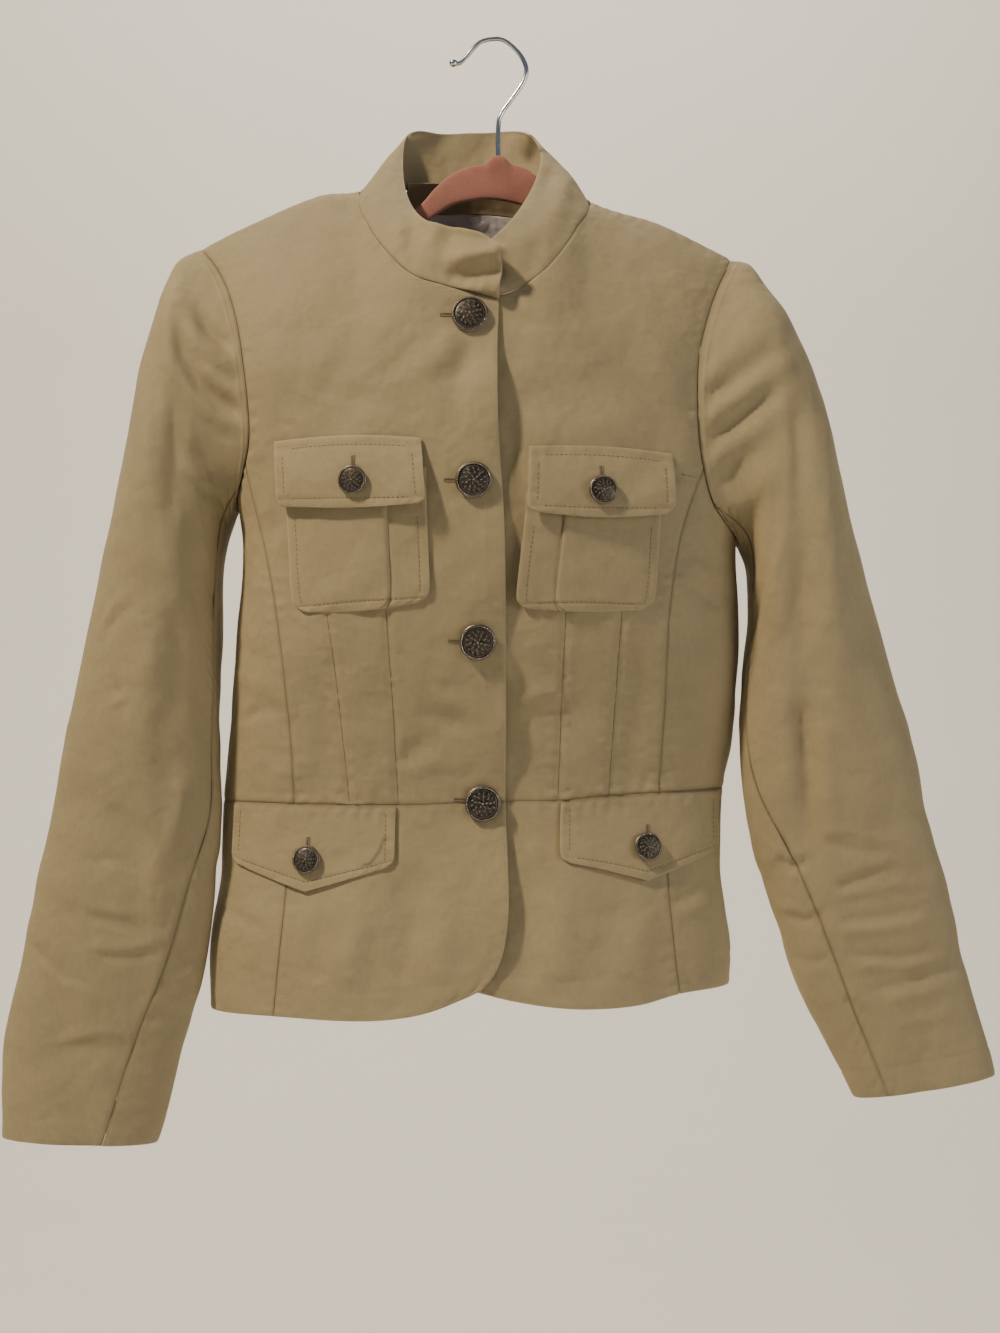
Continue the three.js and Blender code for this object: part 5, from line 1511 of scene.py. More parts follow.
def front_upper(side):
    over = side == "right"
    inward = 1 if over else -1
    tip_x, tip_z = ARMHOLE[side]["x"][0], ARMHOLE[side]["z"][0]
    seam_top, edge_top = FRONT_SEAM[side]["z"][-1], FRONT_EDGE[side]["z"][-1]
    neck = NECK_RIGHT if over else NECK_LEFT
    neck_x = COLLAR["x"][neck]
    edge_x = look_up(FRONT_EDGE[side], "z", "x", np.float64(WAIST_LEVEL))
    seam_x = look_up(FRONT_SEAM[side], "z", "x", np.float64(WAIST_LEVEL))
    edge_foot = look_up(WAIST, "x", "z", edge_x) + VISIBLE_GAP / 2
    seam_foot = look_up(WAIST, "x", "z", seam_x) + VISIBLE_GAP / 2
    neck_share = NECK_STEPS * (NECK_RIGHT if over else UNDER_END - NECK_LEFT) / FRONT_GRID_ROWS
    neckline = neck_edge("front", 0 if over else UNDER_END, neck)
    start = joint_edge(
        (1 - neck_share, front_edge(side, edge_foot, edge_top)), (neck_share, neckline)
    )
    seam_share = SEAM_SHARE / FRONT_GRID_ROWS
    end = joint_edge(
        (seam_share, seam_edge(side, seam_foot, seam_top, inward)),
        (1 - seam_share, armhole_edge(side, "front", seam_top, tip_z)),
    )
    zero = np.float64(0)
    bottom = waist_edge(start(zero)[0], end(zero)[0], VISIBLE_GAP / 2)
    top = shoulder_edge("front", neck_x, tip_x)
    rows = np.interp(spaced(430, 2.8), (0, 0.54, 1), (0, seam_share, 1))
    columns = spaced(165, 2.6)

    def extra(points, reach):
        gape = edge_gape(points, reach) if over else 0
        return dart_relief(side, points) + gape

    finishes = dict(start="front", end="seam", bottom="seam", top="seam")
    lift = None if over else under_lift
    edges = (start, end, bottom, top)
    return body_panel(f"front_{side}_upper", edges, rows, columns, finishes, lift, extra)


def side_upper(side):
    sign = 1 if side == "left" else -1
    wrap = 0 if side == "left" else -2 * math.pi
    pit_z, seam_top = ARMHOLE[side]["z"][-1], FRONT_SEAM[side]["z"][-1]
    seam_x = look_up(FRONT_SEAM[side], "z", "x", np.float64(WAIST_LEVEL))
    seam_foot = look_up(WAIST, "x", "z", seam_x) + VISIBLE_GAP / 2
    start = seam_edge(side, seam_foot, seam_top, sign)
    back = back_seam_edge(side, -sign)
    behind = armhole_edge(side, "back", pit_z, BACK_SEAM_TOP)

    def turned(edge):
        return lambda t: (edge(t)[0] + wrap, edge(t)[1])

    end = turned(back)
    zero, one = np.float64(0), np.float64(1)
    under = joint_edge(
        (0.5, armhole_edge(side, "front", seam_top, pit_z)), (0.5, turned(behind))
    )
    top = corner_safe(under, start(one), end(one))
    bottom = waist_edge(start(zero)[0], end(zero)[0], VISIBLE_GAP / 2)
    rows, columns = spaced(240, 3), spaced(100, 3)
    finishes = dict(start="seam", end="seam", bottom="seam", top="seam")
    edges = (start, end, bottom, top)
    body_panel(f"side_{side}_upper", edges, rows, columns, finishes)


def back_upper():
    rows_in_grid = 18

    def rise(side, inward):
        return joint_edge(
            (SEAM_SHARE / rows_in_grid, back_seam_edge(side, inward)),
            (8 / rows_in_grid, armhole_edge(side, "back", BACK_SEAM_TOP, ARMHOLE[side]["z"][0])),
        )

    start, end = rise("left", 1), rise("right", -1)
    shoulder = 0.2
    neck_left, neck_right = COLLAR["x"][NECK_LEFT], COLLAR["x"][NECK_RIGHT]
    top = joint_edge(
        (shoulder, shoulder_edge("back", ARMHOLE["left"]["x"][0], neck_left)),
        (1 - 2 * shoulder, neck_edge("back", NECK_LEFT, NECK_RIGHT)),
        (shoulder, shoulder_edge("back", neck_right, ARMHOLE["right"]["x"][0])),
    )
    zero = np.float64(0)
    bottom = waist_edge(start(zero)[0], end(zero)[0], VISIBLE_GAP / 2)
    rows = np.interp(spaced(420, 3), (0, 0.58, 1), (0, SEAM_SHARE / rows_in_grid, 1))
    columns = spaced(340, 3)
    finishes = dict(start="seam", end="seam", bottom="seam", top="seam")
    body_panel("back_upper", (start, end, bottom, top), rows, columns, finishes)


def hem_z(angle):
    x = body_x(angle, np.full(np.shape(angle), float(HEM_LEVEL)))
    front = np.where(
        np.sin(angle) > 0, look_up(HEM["left"], "x", "z", x), look_up(HEM["right"], "x", "z", x)
    )
    flank = np.where(np.sin(angle) > 0, HEM["left"]["z"][-1], HEM["right"]["z"][0])
    middle = (HEM["left"]["z"][-1] + HEM["right"]["z"][0]) / 2
    across = np.cos(angle)
    behind = mix(flank, middle, 1 - smooth_step(-1, 0, across))
    drop = BACK_HEM_DROP * (1 - smooth_step(-0.7, 0.3, across))
    return mix(front, behind, 1 - smooth_step(0, 0.35, across)) - drop


def front_skirt(side):
    over = side == "right"
    inward = 1 if over else -1
    edge, seam, hem = FRONT_EDGE[side], FRONT_SEAM[side], HEM[side]
    edge_x = look_up(edge, "z", "x", np.float64(WAIST_LEVEL))
    seam_x = look_up(seam, "z", "x", np.float64(WAIST_LEVEL))
    edge_top = look_up(WAIST, "x", "z", edge_x) - VISIBLE_GAP / 2
    seam_top = look_up(WAIST, "x", "z", seam_x) - VISIBLE_GAP / 2
    start = front_edge(side, edge["z"][0], edge_top)
    end = seam_edge(side, seam["z"][0], seam_top, inward)
    zero, one = np.float64(0), np.float64(1)

    def foot(s):
        x = mix(edge["x"][0], seam["x"][0], s)
        z = look_up(hem, "x", "z", x)
        return angle_at("front", x, z), z

    bottom = corner_safe(foot, start(zero), end(zero))
    top = waist_edge(start(one)[0], end(one)[0], -VISIBLE_GAP / 2)
    finishes = dict(start="front", end="seam", bottom="hem", top="seam")
    lift = None if over else under_lift
    edges = (start, end, bottom, top)

    def extra(points, reach):
        return edge_gape(points, reach) if over else np.zeros(points.shape[:-1])

    name = f"front_{side}_skirt"
    rows, columns = spaced(140, 2.4), spaced(160, 2.4)
    body_panel(name, edges, rows, columns, finishes, lift, extra)


def back_skirt():
    def foot(side, inward):
        seam = FRONT_SEAM[side]
        x = look_up(seam, "z", "x", np.float64(WAIST_LEVEL))
        top = look_up(WAIST, "x", "z", x) - VISIBLE_GAP / 2
        return seam_edge(side, seam["z"][0], top, inward)

    start, right_seam = foot("left", 1), foot("right", -1)

    def end(t):
        angle, z = right_seam(t)
        return angle + 2 * math.pi, z

    zero, one = np.float64(0), np.float64(1)

    def hemline(s):
        angle = mix(start(zero)[0], end(zero)[0], s)
        return angle, hem_z(angle)

    bottom = corner_safe(hemline, start(zero), end(zero))
    top = waist_edge(start(one)[0], end(one)[0], -VISIBLE_GAP / 2)
    finishes = dict(start="seam", end="seam", bottom="hem", top="seam")
    rows, columns = spaced(140, 3), spaced(500, 3)
    body_panel("back_skirt", (start, end, bottom, top), rows, columns, finishes)


# Collar


def grid_normals(points, outward):
    up = np.gradient(points, axis=0)
    along = np.gradient(points, axis=1)
    normal = unit(np.cross(up, along))
    facing = (normal * outward(points)).sum(axis=-1)
    return normal * np.where(facing < 0, -1, 1)[..., None]


def collar_grid(rows, columns):
    v, s = np.meshgrid(rows, columns, indexing="ij")
    place = s * UNDER_END
    x, z = along_rows(COLLAR, "x", place), along_rows(COLLAR, "z", place)
    at_back = (place > NECK_RIGHT) & (place < NECK_LEFT)
    angle = np.where(at_back, angle_at("back", x, z), angle_at("front", x, z))
    lift = np.where(place > NECK_LEFT, under_lift(angle, z), 0)
    foot, _ = body_point(angle, z, lift)
    top = vectors(*(along_rows(COLLAR, column, place) for column in ("top_x", "top_y", "top_z")))
    rise = unit(top - foot)
    at_shoulder = np.minimum(np.abs(place - NECK_RIGHT), np.abs(place - NECK_LEFT))
    raised = VISIBLE_GAP - 2.6 * (1 - smooth_step(0.3, 1.4, at_shoulder))
    foot = foot + rise * raised[..., None]
    points = mix(foot, top, v[..., None])
    turning = 0.5 * (1 - smooth_step(0.2, 1.1, at_shoulder))[:, 1:-1, None]
    for _ in range(40):
        between = (points[:, :-2] + points[:, 2:]) / 2
        points[:, 1:-1] = mix(points[:, 1:-1], between, turning)
    axis = np.array([COLLAR["x"][BACK_MIDDLE], COLLAR_AXIS_Y, 0])
    level = np.array([1, 1, 0])

    def outward(at):
        return (at - axis) * level + np.array([0, 0, COLLAR_FACES_UP])

    normals = grid_normals(points, outward)
    normals[0, :, 2] = np.minimum(normals[0, :, 2], 0.05)
    normals = unit(normals)
    bulge = COLLAR_BULGE * np.sin(math.pi * v)
    return points + normals * bulge[..., None], normals


def collar():
    points, normals = collar_grid(spaced(48, 1.8), spaced(420, 2.2))
    reach = reach_of(points)
    finishes = dict(start="front", end="front", bottom="seam", top="patch")
    relief = edges_relief(reach, dict(start="front", bottom="seam"))
    relief -= 0.5 * np.exp(-((reach["top"] / 1.3) ** 2))
    up = reach["bottom"] / (reach["bottom"] + reach["top"])
    relief += 6.5 * np.exp(-((reach["start"] / 26) ** 2)) * up
    behind = smooth_step(0.2, 0.7, normals[..., 1])
    relief += 1.1 * behind * np.sin(reach["start"] / 6.5) * np.exp(-((reach["top"] / 16) ** 2))
    across, down = in_photo(points)
    outside = smooth_step(-0.1, 0.3, -normals[..., 1])
    relief += outside * creases(COLLAR_CREASES, across, down, PIXEL)
    relief += 1.3 * slack(reach["start"] * 0.7, reach["bottom"]) * smooth_step(0, 8, reach["top"])
    masks = edge_masks(reach, finishes)
    finish_cloth("collar", points, normals, CLOTH, CLOTH_LOOK, relief, masks)


# Sleeves


def armhole_loop(side, angle):
    rows = ARMHOLE[side]
    z = mix(rows["z"][0], rows["z"][-1], (1 - np.cos(angle)) / 2)
    front = angle_at("front", armhole_x(side, "front", z), z)
    back = angle_at("back", armhole_x(side, "back", z), z)
    points, _ = body_point(np.where(np.sin(angle) >= 0, front, back), z)
    outward = np.sign(rows["x"][0]) * VISIBLE_GAP
    return points + np.array([outward, 0, 0])


def sleeve_section(side, down, angle):
    rows = SLEEVE[side]
    place = down * (len(rows["depth"]) - 1)
    value = {column: along_rows(rows, column, place) for column in rows}
    middle_x, middle_z = (value["out_x"] + value["in_x"]) / 2, (value["out_z"] + value["in_z"]) / 2
    half_x, half_z = value["out_x"] - middle_x, value["out_z"] - middle_z
    return vectors(
        middle_x + half_x * np.cos(angle),
        -value["forward"] - value["depth"] * np.sin(angle),
        middle_z + half_z * np.cos(angle),
    )


def sleeve_point(side, down, angle):
    fade = 1 - smooth_step(0, ARMHOLE_BLEND, down)
    shift = armhole_loop(side, angle) - sleeve_section(side, np.zeros(down.shape), angle)
    return sleeve_section(side, down, angle) + shift * fade[..., None]


def sleeve_fold(side, down, angle):
    turn = (np.degrees(angle) + 180) % 360 - 180
    total = np.zeros(down.shape)
    for fold in SLEEVE_FOLDS[side]:
        around = np.radians((turn - fold["angle"] + 540) % 360 - 180) * SLEEVE_RADIUS
        total += soft_fold(fold, around, down * SLEEVE_LENGTH - fold["down"])
    return total * smooth_step(0, 0.06, down)


def sleeve_strip(name, side, start, end, columns):
    down_rows = spaced(SLEEVE_LENGTH, 2.3)[:, None] ** 1.1
    share = columns[None, :]
    down = np.broadcast_to(down_rows, (down_rows.shape[0], share.shape[1])).copy()
    place = down * (len(SLEEVE[side]["depth"]) - 1)
    gap = VISIBLE_GAP / 2 / SLEEVE_RADIUS
    angle = mix(start(place) + gap, end(place) - gap, share)
    step, drop = 0.03, 0.004
    along = sleeve_point(side, np.minimum(1, down + drop), angle)
    along = along - sleeve_point(side, np.maximum(0, down - drop), angle)
    around = sleeve_point(side, down, angle + step) - sleeve_point(side, down, angle - step)
    normals = unit(np.cross(along, around)) * (1 if side == "right" else -1)
    points = sleeve_point(side, down, angle)
    drawn = smooth_step(0.0, 0.45, -normals[..., 1])
    points = points + normals * (sleeve_fold(side, down, angle) * (1 - 0.7 * drawn))[..., None]
    reach = reach_of(points)
    finishes = dict(start="seam", end="seam", bottom="armhole", top="hem")
    relief = edges_relief(reach, finishes)
    below_cap = smooth_step(0, 14, reach["bottom"])
    facing = smooth_step(0.0, 0.45, -normals[..., 1])
    across, photo_down = in_photo(points)
    relief += facing * creases(SLEEVE_CREASES[side], across, photo_down, PIXEL) * below_cap
    behind = smooth_step(0.0, 0.45, normals[..., 1])
    relief += behind * creases(SLEEVE_BACK_CREASES[side], points[..., 0], points[..., 2])
    relief += 1.5 * slack(reach["start"], reach["bottom"]) * below_cap
    relief *= smooth_step(-4, 3, reach["bottom"])
    masks = edge_masks(reach, finishes)
    finish_cloth(name, points, normals, CLOTH, CLOTH_LOOK, relief, masks)


def sleeve(side):
    rows = SLEEVE[side]

    def front(place):
        return np.radians(along_rows(rows, "front", place))

    def back(place):
        return np.radians(along_rows(rows, "back", place))

    sleeve_strip(f"sleeve_{side}_top", side, lambda p: back(p) - 2 * math.pi, front,
                 spaced(200, 2.1))
    sleeve_strip(f"sleeve_{side}_under", side, front, back, spaced(90, 3.2))


# Patches on the fronts


def patch_places(rows, row_places, columns):
    place, s = np.meshgrid(row_places, columns, indexing="ij")
    sag = along_rows(rows, "sag", place) * np.sin(math.pi * s)
    x = mix(along_rows(rows, "in_x", place), along_rows(rows, "out_x", place), s)
    z = mix(along_rows(rows, "in_z", place), along_rows(rows, "out_z", place), s) - sag
    return x, z, place, s


def patch(name, angle, z, lift, finishes, extra=None, look=CLOTH_LOOK, masks=None):
    points, normals = body_point(angle, z, lift)
    reach = reach_of(points)
    relief = edges_relief(reach, finishes)
    relief += 0.6 * slack(reach["start"] * 1.4 + z, reach["bottom"] * 1.3)
    if extra:
        relief += extra(points, reach)
    masks = dict(edge_masks(reach, finishes), **(masks(points) if masks else {}))
    return finish_cloth(name, points, normals, PATCH_CLOTH, look, relief, masks)


def chest_pocket(side):
    rows = CHEST_POCKET[side]
    x, z, place, s = patch_places(rows, spaced(93, 1.5) * 5, spaced(94, 1.5))
    past = s - PLEAT_PLACE
    raised = np.where(past < -0.006, 0, 1 - smooth_step(0.05, 0.5, past))
    lift = LAYER_GAP + PATCH_CLOTH + 1.8 * PLEAT_LIFT * raised

    def extra(points, reach):
        return -0.6 * np.exp(-(((past * 94 + 1.2) / 1.6) ** 2))

    finishes = dict(start="patch", end="patch", bottom="plain", top="patch")
    name = f"chest_pocket_{side}"
    cloth = patch(name, angle_at("front", x, z), z, lift, finishes,
                  extra)
    stitch_rows(f"{name}_stitching", [
        line_inside(cloth, "start", TOPSTITCH, (28, TOPSTITCH)),
        line_inside(cloth, "top", TOPSTITCH, (TOPSTITCH, TOPSTITCH)),
        line_inside(cloth, "end", TOPSTITCH, (28, TOPSTITCH)),
    ])
    fold = line_inside(cloth, "start", PLEAT_PLACE * 94 - 0.8, (26, 1))
    # The pleat's fold shows as a dark tube of painted shade.
    painted_shade_lines(f"{name}_pleat_fold_shade", [fold], 0.32)


def chest_flap(side):
    rows = CHEST_FLAP[side]
    x, z, place, s = patch_places(rows, spaced(46, 1.3) * 4, spaced(96, 1.5))
    lift = along_rows(rows, "lift", place)
    inner = np.exp(-((s / 0.3) ** 2)) if side == "right" else np.exp(-(((1 - s) / 0.3) ** 2))
    lift = lift + (2.8 + 2.6 * inner) * smooth_step(0.3, 2.8, place)
    finishes = dict(start="patch", end="patch", bottom="patch", top="patch")
    name = f"chest_flap_{side}"
    cloth = patch(name, angle_at("front", x, z), z, lift, finishes)
    stitch_rows(f"{name}_stitching", [
        line_inside(cloth, "start", TOPSTITCH, (TOPSTITCH, TOPSTITCH)),
        line_inside(cloth, "bottom", TOPSTITCH, (TOPSTITCH, TOPSTITCH)),
        line_inside(cloth, "end", TOPSTITCH, (TOPSTITCH, TOPSTITCH)),
        line_inside(cloth, "top", TOPSTITCH, (TOPSTITCH, TOPSTITCH)),
    ])
    bx, bz = CHEST_BUTTONS[side]
    buttonhole(f"{name}_buttonhole", cloth, (bx - 0.5, bz + 16.5), (bx, bz + 4))


def angle_along(start, z, distance, steps=12):
    """The angle that lies a distance round the section from a starting angle."""
    angle = start + 0 * distance
    height = np.full(np.shape(angle), float(z))
    for _ in range(steps):
        turn = 0.01
        ahead = body_surface(angle + turn, height) - body_surface(angle - turn, height)
        speed = np.linalg.norm(ahead, axis=-1) / (2 * turn)
        angle = angle + distance / steps / speed
    return angle


def waist_flap_lift(drop):
    return WAIST_FLAP_LIFT + PATCH_CLOTH + drop * WAIST_FLAP_FLARE


def waist_flap(side):
    button_x, button_z = WAIST_BUTTONS[side]
    outer = 1 if side == "left" else -1
    place, s = np.meshgrid(spaced(58, 1.4) * 4, spaced(118, 1.6), indexing="ij")
    inset = along_rows(WAIST_FLAP_ROWS, "inset", place)
    across = (s - 0.5) * (WAIST_FLAP_WIDTH - 2 * inset) * outer
    level = button_z + 10
    start = angle_at("front", np.float64(button_x), np.float64(level))
    angle = angle_along(start, level, across)
    waist_x = body_x(angle, np.full(angle.shape, float(WAIST_LEVEL)))
    drop = along_rows(WAIST_FLAP_ROWS, "drop", place)
    point = along_rows(WAIST_FLAP_ROWS, "point", place)
    z = look_up(WAIST, "x", "z", waist_x) - drop - point * (1 - np.abs(2 * s - 1))
    finishes = dict(start="patch", end="patch", bottom="seam", top="patch")

    def stain(points):
        line = ((-72.6, -553.5), (-75.9, -562.1), (-81.9, -570.2), (-86, -570.9))
        away, _ = near_line(line, points[..., 0], points[..., 2])
        return dict(stain=0.8 * np.exp(-((away / 1.1) ** 2)))

    marked = side == "right"
    name = f"waist_flap_{side}"
    cloth = patch(name, angle, z, waist_flap_lift(drop), finishes,
                  None, STAINED_LOOK if marked else CLOTH_LOOK, stain if marked else None)
    stitch_rows(f"{name}_stitching", [
        line_inside(cloth, "start", TOPSTITCH, (1, TOPSTITCH)),
        line_inside(cloth, "top", TOPSTITCH, (TOPSTITCH, TOPSTITCH)),
        line_inside(cloth, "end", TOPSTITCH, (1, TOPSTITCH)),
    ])
    buttonhole(f"{name}_buttonhole", cloth, (button_x + 0.5, button_z + 15.5),
               (button_x, button_z + 4))


# Inside the back neck


def inside_back(name, from_x, to_x, top_drop, height, look, finishes):
    rows, columns = spaced(height, 2), spaced(to_x - from_x, 2)
    t, s = np.meshgrid(rows, columns, indexing="ij")
    x = mix(from_x, to_x, s)
    right, left = COLLAR["x"][NECK_RIGHT], COLLAR["x"][NECK_LEFT]
    neck_z = along_rows(COLLAR, "z", mix(NECK_RIGHT, NECK_LEFT, (x - right) / (left - right)))
    z = neck_z - top_drop - height * t
    points, normals = body_point(angle_at("back", x, z), z, -LINING_DEPTH)
    reach = reach_of(points)
    relief = edges_relief(reach, finishes) * 0.5 + 0.6 * slack(reach["start"], reach["bottom"])
    masks = edge_masks(reach, finishes)
    finish_cloth(name, points, normals, LINING_CLOTH, look, relief, masks)


# Buttons


ROPE_TURNS = 44
# Rings of leaves on the buttons: place, count, size, lean and how brightly they are worn.
LEAF_RINGS = (
    (0.66, 14, 0.085, 0.9, 0.55),
    (0.60, 14, 0.085, -0.8, 0.4),
    (0.46, 9, 0.095, 0.5, 0.6),
    (0.38, 9, 0.075, -0.9, 0.45),
    (0.22, 5, 0.10, 0.3, 0.65),
)


# The button's section: a share of its radius, a share of its height, how brightly it is worn.
BUTTON_PROFILE = (
    (0, 0, 0),
    (0.28, 0, 0),
    (0.28, 0.3, 0),
    (0.96, 0.36, 0.2),
    (1.05, 0.48, 0.5),
    (1.04, 0.62, 0.6),
    (0.97, 0.70, 0.2),
    (0.86, 0.66, 0.0),
    (0.80, 0.74, 0.35),
    (0.76, 0.76, 0.05),
    (0.5, 0.92, 0.1),
    (0.25, 0.98, 0.1),
    (0, 1.0, 0.1),
)


def button_shape(sheet, radius, place):
    """A domed metal button with a rope rim and a rosette of leaves, its back on z = 0."""
    height = radius * 0.5
    raised = sheet.verts.layers.float.get("raised") or sheet.verts.layers.float.new("raised")
    line = [sheet.verts.new((r * radius, 0, h * height)) for r, h, _ in BUTTON_PROFILE]
    for vert, (_, _, mark) in zip(line, BUTTON_PROFILE):
        vert[raised] = mark
    edges = [sheet.edges.new(pair) for pair in zip(line, line[1:])]
    bmesh.ops.spin(
        sheet, geom=line + edges, cent=(0, 0, 0), axis=(0, 0, 1), dvec=(0, 0, 0),
        angle=2 * math.pi, steps=40, space=Matrix.Identity(4), use_merge=True,
        use_normal_flip=False, use_duplicate=False,
    )
    bmesh.ops.remove_doubles(sheet, verts=sheet.verts[:], dist=radius * 1e-4)

    def bead(spot, turn, size, mark):
        matrix = Matrix.Translation(spot) @ turn @ Matrix.Diagonal((*size, 1))
        made = bmesh.ops.create_uvsphere(sheet, u_segments=8, v_segments=5, radius=1, matrix=matrix)
        for vert in made["verts"]:
            vert[raised] = mark

    for i in range(ROPE_TURNS):
        around = 2 * math.pi * i / ROPE_TURNS
        spot = (math.cos(around) * radius * 0.93, math.sin(around) * radius * 0.93, height * 0.76)
        turn = Matrix.Rotation(around + 0.8, 4, "Z")
        bead(spot, turn, (radius * 0.085, radius * 0.042, height * 0.15), 1.0)
    for ring, count, size, lean, mark in LEAF_RINGS:
        for i in range(count):
            around = 2 * math.pi * (i + ring) / count
            level = height * (1.01 - 0.30 * ring * ring)
            spot = (math.cos(around) * radius * ring, math.sin(around) * radius * ring, level)
            turn = Matrix.Rotation(around + lean, 4, "Z") @ Matrix.Rotation(0.25 * ring, 4, "Y")
            bead(spot, turn, (radius * size, radius * size * 0.36, height * 0.075), mark)
    bead((0, 0, height * 1.0), Matrix.Identity(4), (radius * 0.08, radius * 0.08, height * 0.1), 0.7)
    bmesh.ops.recalc_face_normals(sheet, faces=sheet.faces[:])
    bmesh.ops.transform(sheet, matrix=place, verts=sheet.verts[:])


def button(name, spot, radius, lift, spin):
    x, z = (np.float64(value) for value in spot)
    point, normal = body_point(angle_at("front", x, z), z, lift)
    upright = Vector((0, 0, 1)).rotation_difference(Vector(normal)).to_matrix().to_4x4()
    place = Matrix.Diagonal((MM, MM, MM, 1)) @ Matrix.Translation(Vector(point)) @ upright
    place = place @ Matrix.Rotation(spin, 4, "Z")
    sheet = bmesh.new()
    button_shape(sheet, radius, place)
    piece = put_in_scene(name, sheet, PEWTER)
    finish_piece(piece, "pewter", name)


def buttons():
    for i, spot in enumerate(FRONT_BUTTONS):
        button(f"front_button_{i + 1}", spot, FRONT_BUTTON_RADIUS, BUTTON_LIFT, 0.4 * i)
    for side in ("right", "left"):
        lift = CHEST_FLAP[side]["lift"][3] + BUTTON_LIFT + 2.2
        button(f"chest_button_{side}", CHEST_BUTTONS[side], POCKET_BUTTON_RADIUS, lift, 0.2)
        x, z = WAIST_BUTTONS[side]
        drop = look_up(WAIST, "x", "z", np.float64(x)) - z
        lift = waist_flap_lift(drop) + BUTTON_LIFT
        button(f"waist_button_{side}", WAIST_BUTTONS[side], POCKET_BUTTON_RADIUS, lift, 0.9)


# Hanger and hook


def hanger():
    x = np.concatenate([np.linspace(-196, -176, 14), np.linspace(-173, -11, 60),
                        np.linspace(-10, 19, 40), np.linspace(21, 142, 46),
                        np.linspace(146, 162, 12)])
    top, deep = look_up(HANGER_ARM, "x", "top", x), look_up(HANGER_ARM, "x", "deep", x)
    boss = np.exp(-(np.abs((x - BOSS_X) / 7.4) ** 3.4))
    top, deep = top + 6 * boss, deep + 6 * boss
    ends = np.sqrt(np.clip(1 - (1 - np.minimum(np.minimum(x + 196, 162 - x), 4) / 4) ** 2, 0.02, 1))
    sides = 20
    sheet = bmesh.new()
    bmesh.ops.create_grid(sheet, x_segments=sides, y_segments=len(x) - 1, size=0.5)
    for vert in sheet.verts:
        row = round((vert.co.y + 0.5) * (len(x) - 1))
        turn = 2 * math.pi * (vert.co.x + 0.5)
        flat = abs(math.cos(turn)) ** 0.35 * math.copysign(1, math.cos(turn))
        tall = abs(math.sin(turn)) ** 0.55 * math.copysign(1, math.sin(turn))
        middle = top[row] - deep[row] / 2
        vert.co = Vector((
            x[row],
            flat * (HANGER_THICKNESS / 2 + 2.6 * boss[row] * smooth_step(0, 1, tall)) * ends[row],
            middle + tall * deep[row] / 2 * ends[row],
        )) * MM
    bmesh.ops.remove_doubles(sheet, verts=sheet.verts[:], dist=1e-7)
    bmesh.ops.holes_fill(sheet, edges=[e for e in sheet.edges if e.is_boundary], sides=sides + 1)
    bmesh.ops.recalc_face_normals(sheet, faces=sheet.faces[:])
    piece = put_in_scene("velvet_hanger", sheet, VELVET)
    finish_piece(piece, "velvet", "hanger")


def hook():
    rows = np.linspace(0, 12, 170)
    path = vectors(along_rows(HOOK_PATH, "x", rows), 0 * rows, along_rows(HOOK_PATH, "z", rows))
    sheet = bmesh.new()
    way = unit(np.gradient(path, axis=0))
    sides = 16
    bmesh.ops.create_grid(sheet, x_segments=sides, y_segments=len(path) - 1, size=0.5)
    for vert in sheet.verts:
        row = round((vert.co.y + 0.5) * (len(path) - 1))
        turn = 2 * math.pi * (vert.co.x + 0.5)
        aside = np.array([-way[row][2], 0, way[row][0]])
        out = aside * math.cos(turn) + np.array([0, 1, 0]) * math.sin(turn)
        vert.co = Vector(path[row] + out * HOOK_WIRE_RADIUS) * MM
    bmesh.ops.remove_doubles(sheet, verts=sheet.verts[:], dist=1e-7)
    bmesh.ops.holes_fill(sheet, edges=[e for e in sheet.edges if e.is_boundary], sides=sides + 1)
    tip = Matrix.Translation(Vector(path[0]) * MM)
    bmesh.ops.create_uvsphere(sheet, u_segments=28, v_segments=18, radius=HOOK_TIP_RADIUS * MM,
                              matrix=tip)
    bmesh.ops.recalc_face_normals(sheet, faces=sheet.faces[:])
    piece = put_in_scene("steel_hook", sheet, CHROME)
    finish_piece(piece, "chrome", "hanger_hook")


# Making the object

fronts = {side: front_upper(side) for side in ("right", "left")}
for side in ("right", "left"):
    side_upper(side)
    front_skirt(side)
    sleeve(side)
    chest_pocket(side)
    chest_flap(side)
    waist_flap(side)
    # Each dart shows as a dark tube of painted shade.
    painted_shade_lines(f"dart_shade_{side}", [nearest_on(fronts[side], on_body(line)) for line in DARTS[side]])
back_upper()
back_skirt()
collar()
for number, (x, z) in enumerate(FRONT_BUTTONS):
    level = max(z, WAIST_LEVEL + 0.5)
    buttonhole(f"front_buttonhole_{number + 1}", fronts["right"],
               (x - BUTTONHOLE_FAR, level + BUTTONHOLE_TILT), (x - BUTTONHOLE_NEAR, level))
inside_back("back_neck_facing", *NECK_INSIDE, FACING_TOP, FACING_HEIGHT, FACING_LOOK,
            dict(start="plain", end="plain", bottom="plain", top="patch"))
inside_back("back_lining", *NECK_INSIDE, FACING_JOIN + FACING_HEIGHT + FACING_TOP,
            LINING_HEIGHT - FACING_TOP, LINING_LOOK,
            dict(start="plain", end="plain", bottom="plain", top="plain"))
buttons()
hanger()
hook()


# Camera, light and floor


SENSOR_WIDTH = 36
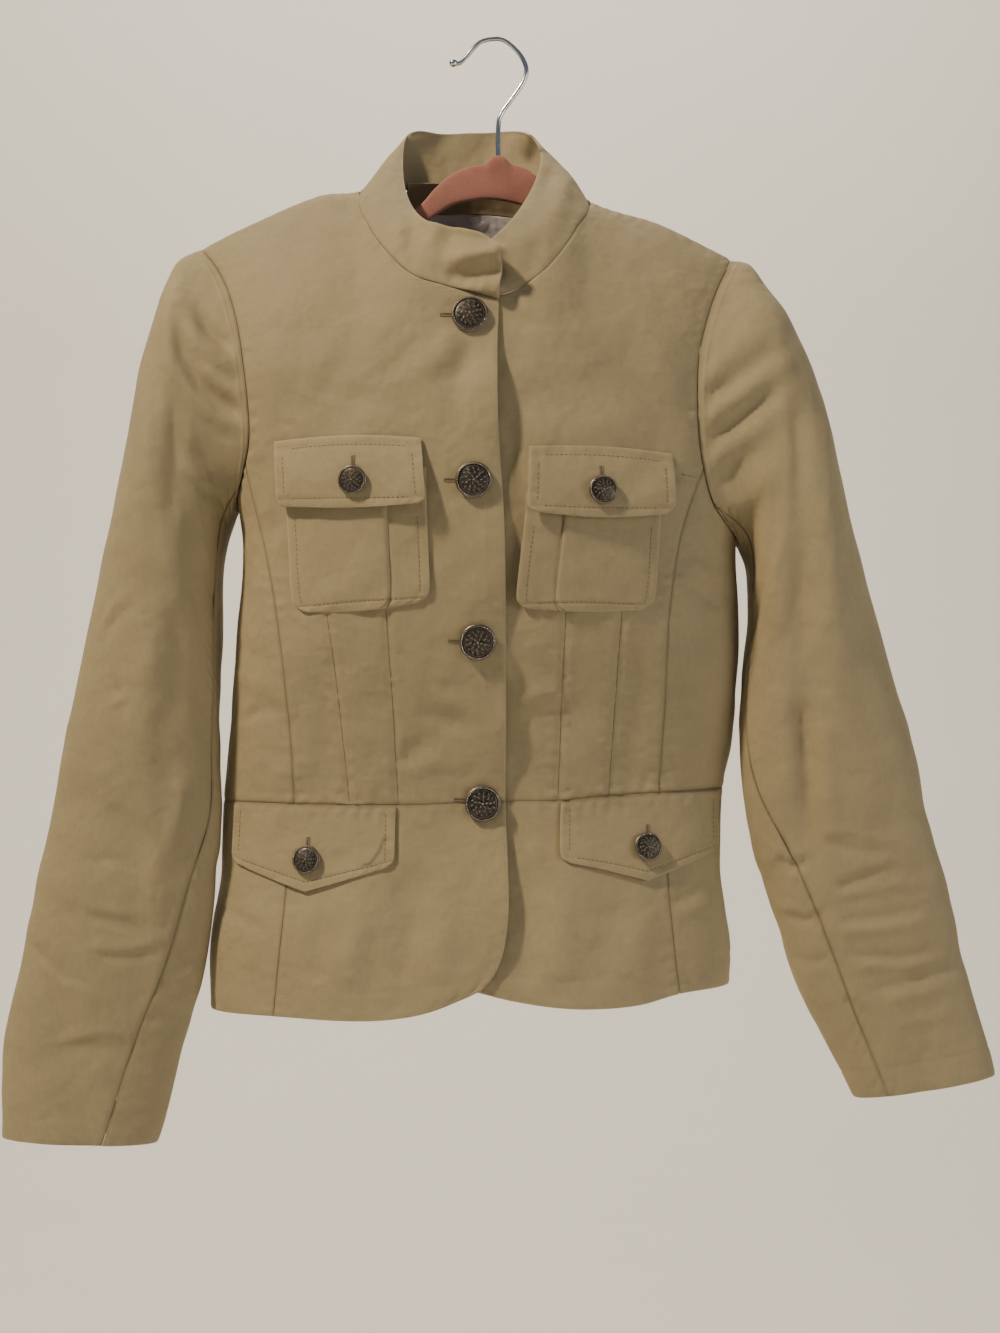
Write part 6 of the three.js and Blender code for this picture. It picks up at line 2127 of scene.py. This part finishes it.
# Each lamp: watts, width in metres, colour, place in metres and the way its back looks.
KEY_LIGHT = dict(name="key", energy=132, size=0.3, color=(1.0, 0.83, 0.60), shape="DISK",
                 place=(-1.86, -1.25, 1.95), back=(-1.86, -1.20, 2.35))
FILL_LIGHT = dict(name="fill", energy=15, size=1.0, color=(1.0, 0.92, 0.80), shape="SQUARE",
                  place=(1.8, -1.15, -0.3), back=(1.8, -1.15, 0.1))
BACKDROP_LIGHT = dict(name="backdrop wash", energy=95, size=2.4, color=(1.0, 0.93, 0.82),
                      shape="SQUARE", place=(0, 1.5, 2.3), back=(0, -1.9, 2.4))
SURROUND_COLOR = (0.68, 0.78, 0.92, 1)
SURROUND_STRENGTH = 0.21
# The backdrop runs along the floor, round a bend and up the wall, in metres.
BACKDROP_HALF_WIDTH = 8
BACKDROP_LENGTH = 10
BACKDROP_FLOOR = 5.0
BACKDROP_BEND = 1.6
BACKDROP_WALL_Y = 3.4
BACKDROP_FLOOR_Z = -1.3


def set_camera():
    lens = bpy.data.cameras.new("camera")
    lens.sensor_width = SENSOR_WIDTH
    lens.lens = SENSOR_WIDTH * CAMERA_DISTANCE / (IMAGE_HEIGHT * PIXEL)
    lens.clip_end = 20
    camera = bpy.data.objects.new("camera", lens)
    camera.location = Vector((CAMERA_X, -CAMERA_DISTANCE, CAMERA_Z)) * MM
    camera.rotation_euler = (math.radians(90), 0, 0)
    bpy.context.scene.collection.objects.link(camera)
    bpy.context.scene.camera = camera


def area_light(name, energy, size, color, shape, place, back):
    lamp = bpy.data.lights.new(name, "AREA")
    lamp.energy = energy
    lamp.shape = shape
    lamp.size = size
    lamp.color = color
    light = bpy.data.objects.new(name, lamp)
    light.location = place
    light.rotation_euler = Vector(back).to_track_quat("Z", "Y").to_euler()
    bpy.context.scene.collection.objects.link(light)


def surround():
    world = bpy.data.worlds.new("room")
    world.use_nodes = True
    background = world.node_tree.nodes["Background"]
    background.inputs["Color"].default_value = SURROUND_COLOR
    background.inputs["Strength"].default_value = SURROUND_STRENGTH
    bpy.context.scene.world = world


def backdrop():
    sweep = bmesh.new()
    bmesh.ops.create_grid(sweep, x_segments=2, y_segments=60, size=1)
    for vert in sweep.verts:
        along = (vert.co.y + 1) * BACKDROP_LENGTH / 2
        past_floor = along - BACKDROP_FLOOR
        turn = min(max(past_floor, 0) / BACKDROP_BEND, math.pi / 2)
        up_wall = max(past_floor - BACKDROP_BEND * math.pi / 2, 0)
        floor_end = BACKDROP_WALL_Y - BACKDROP_BEND - BACKDROP_FLOOR
        vert.co = Vector((
            vert.co.x * BACKDROP_HALF_WIDTH,
            floor_end + min(along, BACKDROP_FLOOR) + BACKDROP_BEND * math.sin(turn),
            BACKDROP_FLOOR_Z + BACKDROP_BEND * (1 - math.cos(turn)) + up_wall,
        ))
    put_in_scene("backdrop", sweep, paper_material())


set_camera()
area_light(**KEY_LIGHT)
area_light(**FILL_LIGHT)
surround()
backdrop()
area_light(**BACKDROP_LIGHT)
